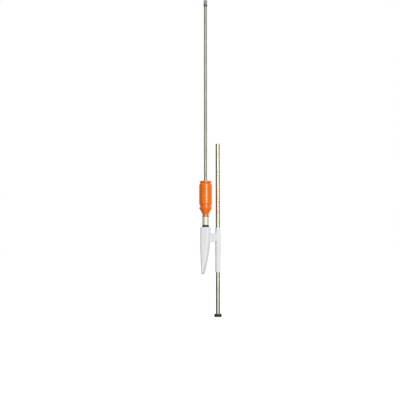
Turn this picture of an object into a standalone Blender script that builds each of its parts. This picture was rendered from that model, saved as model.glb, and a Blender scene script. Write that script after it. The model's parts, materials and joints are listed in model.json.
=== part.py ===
"""Manual slide-hammer log splitter, in metres, +Z up.

A guide rod is driven into a hole in a chopping block. A splitting head, which is a wedge, an arm and a
sleeve, slides and turns on it. A striking rod stands on the wedge, and a hammer slides along that rod
and strikes the wedge. The origin is on the guide rod's axis, at the surface of the block.
"""

import math

import bmesh
import bpy
from mathutils import Matrix, Vector

# Driving dimensions, in metres.
GUIDE_ROD_DIAMETER = 0.0200
GUIDE_ROD_HEIGHT = 0.8120  # above the block
SHANK_DEPTH = 0.1150  # below the block
SHANK_POINT_LENGTH = 0.0200
SHANK_POINT_DIAMETER = 0.0080
ROD_CHAMFER = 0.0015

FOOT_DIAMETER = 0.0350
FOOT_WASHER_THICKNESS = 0.0030
FOOT_BUMPER_HEIGHT = 0.0097
FOOT_BUMPER_ROUNDING = 0.0022

EDGE_HEIGHT = 0.1985  # the cutting edge above the block, with the wedge standing in a log
STRIKING_AXIS_X = -0.0484
STRIKING_AXIS_Y = -0.0600

WEDGE_HEIGHT = 0.2150
WEDGE_WIDTH = 0.0414  # across the faces, at the top
WEDGE_DEPTH_TOP = 0.0600  # along the cutting edge, at the top
WEDGE_DEPTH_EDGE = 0.0780
WEDGE_EDGE_THICKNESS = 0.0040
WEDGE_EDGE_OFFSET = -0.0120  # the edge's middle, to the side of the striking axis
WEDGE_STEEP_POWER = 3.15  # how late the steep face turns in towards the edge
WEDGE_SLOPING_POWER = 2.10
WEDGE_CORNER_RADIUS = 0.0050
WEDGE_TOP_CHAMFER = 0.0012
WEDGE_LEVELS = 7

ARM_THICKNESS = 0.0140
ARM_HEIGHT_AT_WEDGE = 0.0430
ARM_HEIGHT_AT_SLEEVE = 0.0340
ARM_MIDDLE_BELOW_TOP = 0.0455  # its centreline below the wedge's top
ARM_BEVEL = 0.0015
ARM_BEVEL_STEPS = 2
ARM_BLANK_SHORT = 0.0210  # the plate's blank ends this far before the striking axis, inside the wedge

SLEEVE_LENGTH = 0.2060
SLEEVE_WALL = 0.0013
SLEEVE_TOP_BELOW_WEDGE = 0.0010
SLEEVE_BUSH_WALL = 0.0010
SLEEVE_BUSH_LENGTH = 0.0240
SLEEVE_BUSH_INSET = 0.0005

STRIKING_ROD_DIAMETER = 0.0140
STRIKING_ROD_REACH = 1.0545  # from the wedge's top to the end cap
STRIKING_ROD_SEAT_DEPTH = 0.0600  # how far it goes into the wedge
CROSS_PIN_DIAMETER = 0.0060
CROSS_PIN_DEPTH = 0.0330  # its axis below the wedge's top
CROSS_PIN_RECESS = 0.0010  # each end below the wedge's face
STRIKE_RING_DIAMETER = 0.0315
STRIKE_RING_HEIGHT = 0.0100

SPIGOT_DIAMETER = 0.0080
SPIGOT_LENGTH = 0.0160
END_BUFFER_WALL = 0.00145
END_BUFFER_HEIGHT = 0.0062
END_CAP_LENGTH = 0.0275
END_CAP_OVERHANG = 0.0015  # beyond the striking rod's side
END_CAP_ROUND_LENGTH = 0.0110

NOSE_DIAMETER = 0.0300
NOSE_LENGTH = 0.0380
NOSE_CHAMFER = 0.0015
NOSE_SHANK_WALL = 0.0030
NOSE_SHANK_LENGTH = 0.0220
NOSE_WASHER_DIAMETER = 0.0322
NOSE_WASHER_THICKNESS = 0.0020
HAMMER_BORE_PLAY = 0.0010  # between the rod and the bore, away from the bushes
HAMMER_BUSH_WALL = 0.0016
HAMMER_BUSH_LENGTH = 0.0230
HAMMER_BUSH_INSET = 0.0035

CORE_DIAMETER = 0.0442
CORE_NECK_WALL = 0.0014
CORE_NECK_LENGTH = 0.0110
CORE_CONE_LENGTH = 0.0245
CORE_BODY_LENGTH = 0.1175
CORE_TOP_WALL = 0.0028
CORE_TOP_LENGTH = 0.0130
CORE_SHOULDER_CHAMFER = 0.0008

LOWER_GUARD_WALL = 0.0016
LOWER_GUARD_RIM_WIDTH = 0.0072  # the rim beyond the core's side
LOWER_GUARD_RIM_HEIGHT = 0.0372  # its widest place above its lower end
LOWER_GUARD_RIM_ROUNDING = 0.0040
LOWER_GUARD_LENGTH = 0.0455
GRIP_WALL = 0.0071
GRIP_NECK_WALL = 0.0032  # at its lower end
GRIP_NECK_LENGTH = 0.0070
GRIP_LOWER_SHOULDER = 0.0075
GRIP_UPPER_SHOULDER = 0.0165
GRIP_TOP_WALL = 0.0016
TOP_GUARD_RIM_WIDTH = 0.0037  # the flange beyond the grip's top
TOP_GUARD_NECK_HEIGHT = 0.0034
TOP_GUARD_FLANGE_HEIGHT = 0.0064
TOP_GUARD_ROUNDING = 0.0020
CIRCLIP_THICKNESS = 0.0012
CIRCLIP_GROOVE_DEPTH = 0.0008
CIRCLIP_WIDTH = 0.0034
CIRCLIP_GAP = 0.0050
WIPER_HEIGHT = 0.0055

# Clearances.
SEAT_GAP = 0.0003  # between two pieces that are pressed, screwed or stacked together
RUNNING_GAP = 0.0003  # between a bush and its rod

SEGMENTS = 32  # around a turned piece
ARC_STEPS = 4  # along a rounded edge


# ---------------------------------------------------------------- scene and materials
def clear_scene():
    for old in list(bpy.data.objects):
        bpy.data.objects.remove(old, do_unlink=True)


def finish(name, colour, roughness, metallic):
    """A Principled material."""
    material = bpy.data.materials.new(name)
    material.use_nodes = True
    shader = material.node_tree.nodes["Principled BSDF"]
    shader.inputs["Base Color"].default_value = (*colour, 1.0)
    shader.inputs["Roughness"].default_value = roughness
    shader.inputs["Metallic"].default_value = metallic
    return material


def empty(name, place, parent=None):
    """A joint axis, as an empty that pieces hang from."""
    axis = bpy.data.objects.new(name, None)
    bpy.context.collection.objects.link(axis)
    axis.parent = parent
    axis.location = place
    return axis


def add_mesh(name, shape, parent, place, material, smooth_angle=math.radians(35)):
    """Turns a bmesh into a named object and closes it with its faces pointing out."""
    bmesh.ops.remove_doubles(shape, verts=shape.verts, dist=1e-6)
    bmesh.ops.recalc_face_normals(shape, faces=shape.faces)
    mesh = bpy.data.meshes.new(name)
    shape.to_mesh(mesh)
    shape.free()
    mesh.materials.append(material)
    mesh.shade_smooth()
    mesh.set_sharp_from_angle(angle=smooth_angle)
    piece = bpy.data.objects.new(name, mesh)
    bpy.context.collection.objects.link(piece)
    piece.parent = parent
    piece.location = place
    return piece


def cut(piece, cutter_shape, name):
    """Cuts a piece with a hidden cutter that stands in the same place."""
    cutter = add_mesh(name, cutter_shape, piece.parent, piece.location, piece.data.materials[0])
    cutter.hide_render = True
    cutter.display_type = "WIRE"
    boolean = piece.modifiers.new(name, "BOOLEAN")
    boolean.operation = "DIFFERENCE"
    boolean.solver = "EXACT"
    boolean.object = cutter


# ---------------------------------------------------------------- shapes
def arc(middle_r, middle_z, radius_r, radius_z, start, end, steps=ARC_STEPS):
    """Points (r, z) on an ellipse's arc, from one angle to another, in degrees from +r."""
    points = []
    for step in range(steps + 1):
        angle = math.radians(start + (end - start) * step / steps)
        points.append((middle_r + radius_r * math.cos(angle), middle_z + radius_z * math.sin(angle)))
    return points


def turned_shape(profile, segments=SEGMENTS):
    """Spins a profile of (r, z) about Z. It closes on itself, or ends on the axis at both ends."""
    shape = bmesh.new()
    points = [shape.verts.new((r, 0.0, z)) for r, z in profile]
    lines = [shape.edges.new(pair) for pair in zip(points, points[1:])]
    on_axis = profile[0][0] == 0.0 and profile[-1][0] == 0.0
    if not on_axis:
        lines.append(shape.edges.new((points[-1], points[0])))
    bmesh.ops.spin(
        shape,
        geom=points + lines,
        cent=(0.0, 0.0, 0.0),
        axis=(0.0, 0.0, 1.0),
        angle=math.tau,
        steps=segments,
        use_merge=True,
    )
    bmesh.ops.remove_doubles(shape, verts=shape.verts, dist=1e-6)
    bmesh.ops.dissolve_degenerate(shape, edges=shape.edges, dist=1e-7)
    return shape


def ring_profile(inner, outer, bottom, top, rounding=0.0):
    """A plain ring's section, with its outer edges rounded if a rounding is given."""
    if not rounding:
        return [(inner, bottom), (inner, top), (outer, top), (outer, bottom)]
    flat = outer - rounding
    return [
        (inner, bottom),
        (inner, top),
        *arc(flat, top - rounding, rounding, rounding, 90, 0),
        *arc(flat, bottom + rounding, rounding, rounding, 0, -90),
    ]


def cylinder_shape(radius, length, turn=Matrix(), segments=SEGMENTS):
    """A cylinder about Z, standing on its middle, then turned."""
    shape = bmesh.new()
    bmesh.ops.create_cone(
        shape,
        cap_ends=True,
        cap_tris=False,
        segments=segments,
        radius1=radius,
        radius2=radius,
        depth=length,
        matrix=turn,
    )
    return shape


def rounded_rectangle(x_low, x_high, half_depth, radius, z):
    """A loop of points round a rectangle with rounded corners, anticlockwise from above."""
    radius = min(radius, 0.45 * (x_high - x_low))
    corners = [
        (x_high - radius, half_depth - radius, 0),
        (x_low + radius, half_depth - radius, 90),
        (x_low + radius, -half_depth + radius, 180),
        (x_high - radius, -half_depth + radius, 270),
    ]
    loop = []
    for x, y, start in corners:
        loop += [Vector((px, py, z)) for px, py in arc(x, y, radius, radius, start, start + 90)]
    return loop


def loft(loops):
    """Joins loops that have the same number of points, and caps both ends."""
    shape = bmesh.new()
    rings = [[shape.verts.new(point) for point in loop] for loop in loops]
    count = len(rings[0])
    for lower, upper in zip(rings, rings[1:]):
        for i in range(count):
            j = (i + 1) % count
            shape.faces.new((lower[i], lower[j], upper[j], upper[i]))
    shape.faces.new(list(reversed(rings[0])))
    shape.faces.new(rings[-1])
    return shape


# ---------------------------------------------------------------- sizes that follow from the driving ones
GUIDE_RADIUS = GUIDE_ROD_DIAMETER / 2
FOOT_BORE_RADIUS = GUIDE_RADIUS + SEAT_GAP
SLEEVE_BUSH_INNER = GUIDE_RADIUS + RUNNING_GAP
SLEEVE_BUSH_OUTER = SLEEVE_BUSH_INNER + SLEEVE_BUSH_WALL
SLEEVE_INNER = SLEEVE_BUSH_OUTER + SEAT_GAP
SLEEVE_OUTER = SLEEVE_INNER + SLEEVE_WALL

STRIKING_RADIUS = STRIKING_ROD_DIAMETER / 2
STRIKING_FIT = STRIKING_RADIUS + SEAT_GAP
WEDGE_TOP = EDGE_HEIGHT + WEDGE_HEIGHT
SLEEVE_TOP = WEDGE_TOP - SLEEVE_TOP_BELOW_WEDGE
SLEEVE_BOTTOM = SLEEVE_TOP - SLEEVE_LENGTH

HAMMER_REST = WEDGE_TOP + STRIKE_RING_HEIGHT + 2 * SEAT_GAP  # the hammer's lower end
HAMMER_BORE = STRIKING_RADIUS + HAMMER_BORE_PLAY
HAMMER_BUSH_INNER = STRIKING_RADIUS + RUNNING_GAP
HAMMER_BUSH_OUTER = HAMMER_BUSH_INNER + HAMMER_BUSH_WALL
HAMMER_BUSH_BORE = HAMMER_BUSH_OUTER + SEAT_GAP
CORE_TOP_RADIUS = HAMMER_BUSH_BORE + CORE_TOP_WALL
NOSE_SHANK_RADIUS = HAMMER_BORE + NOSE_SHANK_WALL
CORE_SOCKET_RADIUS = NOSE_SHANK_RADIUS + SEAT_GAP
CORE_NECK_RADIUS = CORE_SOCKET_RADIUS + CORE_NECK_WALL
CORE_RADIUS = CORE_DIAMETER / 2
LOWER_GUARD_THROAT = CORE_NECK_RADIUS + SEAT_GAP
GRIP_BORE = CORE_RADIUS + SEAT_GAP
GRIP_NECK = GRIP_BORE + GRIP_NECK_WALL
GRIP_OUTER = GRIP_BORE + GRIP_WALL
GRIP_TOP_RADIUS = GRIP_BORE + GRIP_TOP_WALL

# Heights inside the hammer, from its lower end.
NOSE_WASHER_BOTTOM = NOSE_LENGTH + SEAT_GAP
GUARD_BOTTOM = NOSE_WASHER_BOTTOM + NOSE_WASHER_THICKNESS + SEAT_GAP
CORE_BOTTOM = GUARD_BOTTOM
CORE_CONE_BOTTOM = CORE_BOTTOM + CORE_NECK_LENGTH
CORE_CONE_TOP = CORE_CONE_BOTTOM + CORE_CONE_LENGTH
CORE_SHOULDER = CORE_CONE_TOP + CORE_BODY_LENGTH
CORE_TOP = CORE_SHOULDER + CORE_TOP_LENGTH
NOSE_SHANK_TOP = NOSE_LENGTH + NOSE_SHANK_LENGTH
GUARD_TOP = GUARD_BOTTOM + LOWER_GUARD_LENGTH
GRIP_BOTTOM = GUARD_TOP + SEAT_GAP
GRIP_TOP = CORE_SHOULDER
TOP_GUARD_BOTTOM = CORE_SHOULDER + SEAT_GAP
TOP_GUARD_TOP = TOP_GUARD_BOTTOM + TOP_GUARD_NECK_HEIGHT + TOP_GUARD_FLANGE_HEIGHT
CIRCLIP_BOTTOM = TOP_GUARD_TOP + SEAT_GAP
WIPER_TOP = CORE_TOP - 2 * SEAT_GAP
UPPER_BUSH_TOP = WIPER_TOP - WIPER_HEIGHT - SEAT_GAP
UPPER_BUSH_BOTTOM = UPPER_BUSH_TOP - HAMMER_BUSH_LENGTH


# ---------------------------------------------------------------- the guide post
def make_guide_rod(parent, steel):
    """The rod, chamfered at its top, with a tapered point below the block."""
    point_top = -SHANK_DEPTH + SHANK_POINT_LENGTH
    profile = [
        (0.0, GUIDE_ROD_HEIGHT),
        (GUIDE_RADIUS - ROD_CHAMFER, GUIDE_ROD_HEIGHT),
        (GUIDE_RADIUS, GUIDE_ROD_HEIGHT - ROD_CHAMFER),
        (GUIDE_RADIUS, point_top),
        (SHANK_POINT_DIAMETER / 2, -SHANK_DEPTH),
        (0.0, -SHANK_DEPTH),
    ]
    add_mesh("guide_rod", turned_shape(profile), parent, (0, 0, 0), steel)


def make_foot(parent, steel, rubber):
    """A steel washer on the block, and a rubber bumper above it for the sleeve to land on."""
    radius = FOOT_DIAMETER / 2
    washer = ring_profile(FOOT_BORE_RADIUS, radius, 0.0, FOOT_WASHER_THICKNESS)
    add_mesh("foot_washer", turned_shape(washer), parent, (0, 0, 0), steel)
    bottom = FOOT_WASHER_THICKNESS + SEAT_GAP
    bumper = ring_profile(FOOT_BORE_RADIUS, radius, 0.0, FOOT_BUMPER_HEIGHT, FOOT_BUMPER_ROUNDING)
    add_mesh("foot_bumper", turned_shape(bumper), parent, (0, 0, bottom), rubber)


# ---------------------------------------------------------------- the splitting head
def make_sleeve(parent, steel, nylon):
    """The sleeve round the guide rod, with a bush pressed into each end."""
    sleeve = ring_profile(SLEEVE_INNER, SLEEVE_OUTER, 0.0, SLEEVE_LENGTH)
    add_mesh("guide_sleeve", turned_shape(sleeve), parent, (0, 0, SLEEVE_BOTTOM), steel)
    bush = ring_profile(SLEEVE_BUSH_INNER, SLEEVE_BUSH_OUTER, 0.0, SLEEVE_BUSH_LENGTH)
    bottoms = {
        "sleeve_bush_lower": SLEEVE_BOTTOM + SLEEVE_BUSH_INSET,
        "sleeve_bush_upper": SLEEVE_TOP - SLEEVE_BUSH_INSET - SLEEVE_BUSH_LENGTH,
    }
    for name, bottom in bottoms.items():
        add_mesh(name, turned_shape(bush), parent, (0, 0, bottom), nylon)


def wedge_section(down, grow=0.0):
    """The wedge's outline a share `down` of the way from its top to its edge, grown all round."""
    half_top = WEDGE_WIDTH / 2
    steep_edge = WEDGE_EDGE_OFFSET - WEDGE_EDGE_THICKNESS / 2
    sloping_edge = WEDGE_EDGE_OFFSET + WEDGE_EDGE_THICKNESS / 2
    x_low = -half_top + (steep_edge + half_top) * down**WEDGE_STEEP_POWER
    x_high = half_top + (sloping_edge - half_top) * down**WEDGE_SLOPING_POWER
    half_depth = (WEDGE_DEPTH_TOP + (WEDGE_DEPTH_EDGE - WEDGE_DEPTH_TOP) * down) / 2
    height = WEDGE_HEIGHT * (1 - down)
    return rounded_rectangle(
        x_low - grow, x_high + grow, half_depth + grow, WEDGE_CORNER_RADIUS + grow, height
    )


def raised(loop, rise):
    return [point + Vector((0, 0, rise)) for point in loop]


def wedge_shape(grow=0.0):
    """The wedge from its edge, at z = 0, to its top. One face is steep and the other slopes.

    A grown wedge, which is for cutting its neighbours, has no chamfer round its top."""
    loops = [wedge_section(1 - i / WEDGE_LEVELS, grow) for i in range(WEDGE_LEVELS)]
    if grow:
        loops[0] = raised(loops[0], -grow)
        loops.append(raised(wedge_section(0.0, grow), grow))
    else:
        loops.append(wedge_section(WEDGE_TOP_CHAMFER / WEDGE_HEIGHT))
        loops.append(wedge_section(0.0, -WEDGE_TOP_CHAMFER))
    return loft(loops)


def make_wedge(parent, place, steel):
    """The wedge, with a blind bore for the striking rod and a cross hole for its pin."""
    wedge = add_mesh("splitting_wedge", wedge_shape(), parent, place, steel)
    depth = STRIKING_ROD_SEAT_DEPTH + SEAT_GAP
    at_top = Matrix.Translation((0, 0, WEDGE_HEIGHT))
    cut(wedge, cylinder_shape(STRIKING_FIT, 2 * depth, at_top), "wedge_bore_cutter")
    cut(wedge, pin_shape(CROSS_PIN_DIAMETER / 2 + SEAT_GAP, 2 * WEDGE_WIDTH), "wedge_pin_cutter")


def pin_shape(radius, length):
    """A pin along X, at the cross pin's height above the wedge's edge."""
    turn = Matrix.Translation((0, 0, WEDGE_HEIGHT - CROSS_PIN_DEPTH)) @ Matrix.Rotation(
        math.pi / 2, 4, "Y"
    )
    return cylinder_shape(radius, length, turn, SEGMENTS // 2)


def make_arm(parent, place, steel):
    """The plate between the sleeve and the wedge, cut to fit both, and deeper at the wedge."""
    reach = Vector((STRIKING_AXIS_X, STRIKING_AXIS_Y, 0.0))
    along = reach.normalized()
    across = Vector((-along.y, along.x, 0.0)) * (ARM_THICKNESS / 2)
    middle = WEDGE_TOP - ARM_MIDDLE_BELOW_TOP
    blank_end = along * (reach.length - ARM_BLANK_SHORT)
    ends = [(Vector((0, 0, 0)), ARM_HEIGHT_AT_SLEEVE / 2), (blank_end, ARM_HEIGHT_AT_WEDGE / 2)]
    shape = bmesh.new()
    rings = []
    for point, half in ends:
        up = Vector((0, 0, half))
        base = point + Vector((0, 0, middle))
        corners = (base - across - up, base + across - up, base + across + up, base - across + up)
        rings.append([shape.verts.new(corner) for corner in corners])
    for i in range(4):
        j = (i + 1) % 4
        shape.faces.new((rings[0][i], rings[0][j], rings[1][j], rings[1][i]))
    shape.faces.new(list(reversed(rings[0])))
    shape.faces.new(rings[1])
    arm = add_mesh("swing_arm", shape, parent, (0, 0, 0), steel)
    bevel = arm.modifiers.new("edges", "BEVEL")
    bevel.width = ARM_BEVEL
    bevel.segments = ARM_BEVEL_STEPS
    bevel.limit_method = "ANGLE"
    lift = Matrix.Translation((0, 0, middle))
    sleeve_cutter = cylinder_shape(SLEEVE_OUTER + SEAT_GAP, 3 * ARM_HEIGHT_AT_WEDGE, lift)
    cut(arm, sleeve_cutter, "arm_sleeve_cutter")
    wedge_cutter = wedge_shape(SEAT_GAP)
    bmesh.ops.translate(wedge_cutter, verts=wedge_cutter.verts, vec=Vector(place))
    cut(arm, wedge_cutter, "arm_wedge_cutter")


def make_striking_rod(parent, place, rod_steel, dark_steel):
    """The rod on the wedge, with a spigot for its end cap and a cross hole, and its pin."""
    bottom = WEDGE_HEIGHT - STRIKING_ROD_SEAT_DEPTH
    shoulder = WEDGE_HEIGHT + STRIKING_ROD_REACH
    spigot = SPIGOT_DIAMETER / 2
    profile = [
        (0.0, shoulder + SPIGOT_LENGTH),
        (spigot, shoulder + SPIGOT_LENGTH),
        (spigot, shoulder),
        (STRIKING_RADIUS, shoulder),
        (STRIKING_RADIUS, bottom + ROD_CHAMFER),
        (STRIKING_RADIUS - ROD_CHAMFER, bottom),
        (0.0, bottom),
    ]
    rod = add_mesh("striking_rod", turned_shape(profile), parent, place, rod_steel)
    cut(rod, pin_shape(CROSS_PIN_DIAMETER / 2 + SEAT_GAP, 2 * WEDGE_WIDTH), "rod_pin_cutter")
    length = WEDGE_WIDTH - 2 * (CROSS_PIN_RECESS + ROD_CHAMFER)
    pin = pin_shape(CROSS_PIN_DIAMETER / 2, length)
    add_mesh("rod_cross_pin", pin, parent, place, dark_steel)


def make_rod_fittings(parent, place, dark_steel, rubber, cap_steel):
    """The strike ring on the wedge, and the buffer and cap at the rod's upper end."""
    ring = ring_profile(STRIKING_FIT, STRIKE_RING_DIAMETER / 2, 0.0, STRIKE_RING_HEIGHT, ROD_CHAMFER)
    ring_bottom = Vector((0, 0, WEDGE_HEIGHT + SEAT_GAP))
    add_mesh("strike_ring", turned_shape(ring), parent, place + ring_bottom, dark_steel)
    shoulder = WEDGE_HEIGHT + STRIKING_ROD_REACH
    buffer = ring_profile(
        STRIKING_FIT, STRIKING_FIT + END_BUFFER_WALL, 0.0, END_BUFFER_HEIGHT, END_BUFFER_WALL / 2
    )
    buffer_bottom = Vector((0, 0, shoulder - END_BUFFER_HEIGHT))
    add_mesh("end_buffer", turned_shape(buffer), parent, place + buffer_bottom, rubber)
    radius = STRIKING_RADIUS + END_CAP_OVERHANG
    bore = SPIGOT_DIAMETER / 2 + SEAT_GAP
    bore_top = SPIGOT_LENGTH + SEAT_GAP
    straight = END_CAP_LENGTH - END_CAP_ROUND_LENGTH
    profile = [
        *reversed(arc(0.0, straight, radius, END_CAP_ROUND_LENGTH, 0, 90, 2 * ARC_STEPS)),
        (radius, 0.0),
        (bore, 0.0),
        (bore, bore_top),
        (0.0, bore_top),
    ]
    profile[0] = (0.0, END_CAP_LENGTH)
    cap_bottom = Vector((0, 0, shoulder + SEAT_GAP))
    add_mesh("end_cap", turned_shape(profile), parent, place + cap_bottom, cap_steel)


# ---------------------------------------------------------------- the hammer
def make_nose(parent, plated, yellow, rubber, nylon):
    """The nose that strikes, with a shank screwed into the core, its washer and the lower bush."""
    radius = NOSE_DIAMETER / 2
    bush_top = HAMMER_BUSH_INSET + HAMMER_BUSH_LENGTH + SEAT_GAP
    profile = [
        (HAMMER_BUSH_BORE, 0.0),
        (HAMMER_BUSH_BORE, bush_top),
        (HAMMER_BORE, bush_top),
        (HAMMER_BORE, NOSE_SHANK_TOP),
        (NOSE_SHANK_RADIUS, NOSE_SHANK_TOP),
        (NOSE_SHANK_RADIUS, NOSE_LENGTH),
        (radius, NOSE_LENGTH),
        (radius, NOSE_CHAMFER),
        (radius - NOSE_CHAMFER, 0.0),
    ]
    add_mesh("hammer_nose", turned_shape(profile), parent, (0, 0, 0), plated)
    washer = ring_profile(CORE_SOCKET_RADIUS, NOSE_WASHER_DIAMETER / 2, 0.0, NOSE_WASHER_THICKNESS)
    add_mesh("nose_washer", turned_shape(washer), parent, (0, 0, NOSE_WASHER_BOTTOM), yellow)
    bush = ring_profile(HAMMER_BUSH_INNER, HAMMER_BUSH_OUTER, 0.0, HAMMER_BUSH_LENGTH)
    bottoms = {"hammer_bush_lower": HAMMER_BUSH_INSET, "hammer_bush_upper": UPPER_BUSH_BOTTOM}
    for name, bottom in bottoms.items():
        add_mesh(name, turned_shape(bush), parent, (0, 0, bottom), nylon)
    wiper = ring_profile(HAMMER_BUSH_INNER, HAMMER_BUSH_OUTER, 0.0, WIPER_HEIGHT)
    wiper_bottom = WIPER_TOP - WIPER_HEIGHT
    add_mesh("rod_wiper", turned_shape(wiper), parent, (0, 0, wiper_bottom), rubber)


def make_core(parent, steel):
    """The heavy turned core: a socket for the nose, a cone, a long body and a top spigot."""
    socket_top = NOSE_SHANK_TOP + SEAT_GAP
    bush_bore_bottom = UPPER_BUSH_BOTTOM - SEAT_GAP
    groove_bottom = CIRCLIP_BOTTOM - SEAT_GAP
    groove_top = CIRCLIP_BOTTOM + CIRCLIP_THICKNESS + SEAT_GAP
    groove = CORE_TOP_RADIUS - CIRCLIP_GROOVE_DEPTH
    profile = [
        (CORE_SOCKET_RADIUS, CORE_BOTTOM),
        (CORE_SOCKET_RADIUS, socket_top),
        (HAMMER_BORE, socket_top),
        (HAMMER_BORE, bush_bore_bottom),
        (HAMMER_BUSH_BORE, bush_bore_bottom),
        (HAMMER_BUSH_BORE, CORE_TOP),
        (CORE_TOP_RADIUS, CORE_TOP),
        (CORE_TOP_RADIUS, groove_top),
        (groove, groove_top),
        (groove, groove_bottom),
        (CORE_TOP_RADIUS, groove_bottom),
        (CORE_TOP_RADIUS, CORE_SHOULDER),
        (CORE_RADIUS - CORE_SHOULDER_CHAMFER, CORE_SHOULDER),
        (CORE_RADIUS, CORE_SHOULDER - CORE_SHOULDER_CHAMFER),
        (CORE_RADIUS, CORE_CONE_TOP),
        (CORE_NECK_RADIUS, CORE_CONE_BOTTOM),
        (CORE_NECK_RADIUS, CORE_BOTTOM),
    ]
    add_mesh("hammer_core", turned_shape(profile), parent, (0, 0, 0), steel)


def make_grip(parent, plastic, dark_steel):
    """The moulded grip in three pieces on the core, held by a circlip on the core's spigot."""
    throat = LOWER_GUARD_THROAT
    tube = throat + LOWER_GUARD_WALL
    rim = GRIP_BORE + LOWER_GUARD_RIM_WIDTH
    rim_height = GUARD_BOTTOM + LOWER_GUARD_RIM_HEIGHT
    guard = [
        (throat, GUARD_BOTTOM),
        (throat, CORE_CONE_BOTTOM),
        (GRIP_BORE, CORE_CONE_TOP),
        (GRIP_BORE, GUARD_TOP),
        (GRIP_NECK, GUARD_TOP),
        (rim - LOWER_GUARD_RIM_ROUNDING / 2, rim_height + LOWER_GUARD_RIM_ROUNDING),
        (rim, rim_height + LOWER_GUARD_RIM_ROUNDING / 2),
        (rim, rim_height),
        (tube, CORE_CONE_BOTTOM),
        (tube, GUARD_BOTTOM),
    ]
    add_mesh("lower_guard", turned_shape(guard), parent, (0, 0, 0), plastic)

    barrel_bottom = GRIP_BOTTOM + GRIP_NECK_LENGTH + GRIP_LOWER_SHOULDER
    barrel_top = GRIP_TOP - GRIP_UPPER_SHOULDER
    upper = GRIP_OUTER - GRIP_TOP_RADIUS
    lower = GRIP_OUTER - GRIP_NECK
    barrel = [
        (GRIP_BORE, GRIP_BOTTOM),
        (GRIP_BORE, GRIP_TOP),
        *reversed(arc(GRIP_TOP_RADIUS, barrel_top, upper, GRIP_UPPER_SHOULDER, 0, 90)),
        *reversed(arc(GRIP_NECK, barrel_bottom, lower, GRIP_LOWER_SHOULDER, -90, 0)),
        (GRIP_NECK, GRIP_BOTTOM),
    ]
    add_mesh("grip_barrel", turned_shape(barrel), parent, (0, 0, 0), plastic)

    bore = CORE_TOP_RADIUS + SEAT_GAP
    flat = GRIP_TOP_RADIUS + TOP_GUARD_RIM_WIDTH - TOP_GUARD_ROUNDING
    flange_bottom = TOP_GUARD_BOTTOM + TOP_GUARD_NECK_HEIGHT
    guard = [
        (bore, TOP_GUARD_BOTTOM),
        (bore, TOP_GUARD_TOP),
        *arc(flat, TOP_GUARD_TOP - TOP_GUARD_ROUNDING, TOP_GUARD_ROUNDING, TOP_GUARD_ROUNDING, 90, 0),
        *arc(flat, flange_bottom + TOP_GUARD_ROUNDING, TOP_GUARD_ROUNDING, TOP_GUARD_ROUNDING, 0, -90),
        (GRIP_TOP_RADIUS, flange_bottom),
        (GRIP_TOP_RADIUS, TOP_GUARD_BOTTOM),
    ]
    add_mesh("top_guard", turned_shape(guard), parent, (0, 0, 0), plastic)

    inner = CORE_TOP_RADIUS - CIRCLIP_GROOVE_DEPTH + SEAT_GAP
    clip = ring_profile(inner, inner + CIRCLIP_WIDTH, 0.0, CIRCLIP_THICKNESS)
    circlip = add_mesh("top_circlip", turned_shape(clip), parent, (0, 0, CIRCLIP_BOTTOM), dark_steel)
    slot = bmesh.new()
    bmesh.ops.create_cube(slot, size=1.0)
    bmesh.ops.scale(slot, verts=slot.verts, vec=(2 * CIRCLIP_GAP, CIRCLIP_GAP, 4 * CIRCLIP_THICKNESS))
    bmesh.ops.translate(slot, verts=slot.verts, vec=(inner + CIRCLIP_WIDTH / 2, 0, 0))
    cut(circlip, slot, "circlip_gap_cutter")


# ---------------------------------------------------------------- the whole splitter
def main():
    clear_scene()
    polished = finish("polished_steel", (0.72, 0.71, 0.68), 0.22, 1.0)
    ground = finish("ground_steel", (0.50, 0.48, 0.42), 0.34, 1.0)
    cast = finish("light_grey_paint", (0.80, 0.82, 0.84), 0.42, 0.0)
    plated = finish("zinc_plate", (0.78, 0.78, 0.76), 0.30, 0.9)
    machined = finish("machined_steel", (0.42, 0.42, 0.43), 0.38, 1.0)
    dark = finish("blackened_steel", (0.03, 0.03, 0.032), 0.40, 0.8)
    rubber = finish("black_rubber", (0.012, 0.012, 0.012), 0.70, 0.0)
    yellow = finish("yellow_zinc", (0.42, 0.36, 0.15), 0.38, 0.9)
    nylon = finish("white_nylon", (0.78, 0.77, 0.72), 0.45, 0.0)
    orange = finish("orange_plastic", (0.93, 0.19, 0.008), 0.28, 0.0)
    grey = finish("grey_cap", (0.30, 0.30, 0.29), 0.45, 0.0)

    post = empty("guide_post", (0, 0, 0))
    head = empty("head_axis", (0, 0, 0), post)
    striking_place = Vector((STRIKING_AXIS_X, STRIKING_AXIS_Y, EDGE_HEIGHT))
    hammer = empty("hammer_axis", (STRIKING_AXIS_X, STRIKING_AXIS_Y, HAMMER_REST), head)

    make_guide_rod(post, polished)
    make_foot(post, dark, rubber)
    make_sleeve(head, cast, nylon)
    make_wedge(head, striking_place, cast)
    make_arm(head, striking_place, cast)
    make_striking_rod(head, striking_place, ground, dark)
    make_rod_fittings(head, striking_place, dark, rubber, grey)
    make_nose(hammer, plated, yellow, rubber, nylon)
    make_core(hammer, machined)
    make_grip(hammer, orange, dark)


main()
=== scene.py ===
"""Builds the visible pieces, finishes and stage of a manual slide-hammer log splitter.

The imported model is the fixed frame. Each visible piece is a surface worked out from the frame's boxes
and a few named sizes, with a procedural finish. The file is laid out as a Blender add-on and run as a
script: one operator for each group of like pieces, one for the stage, and a panel that lists them.
"""

import json
import math

import bpy
import numpy as np
from bpy.props import FloatProperty, FloatVectorProperty, IntProperty, PointerProperty
from mathutils import Matrix, Vector

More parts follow.
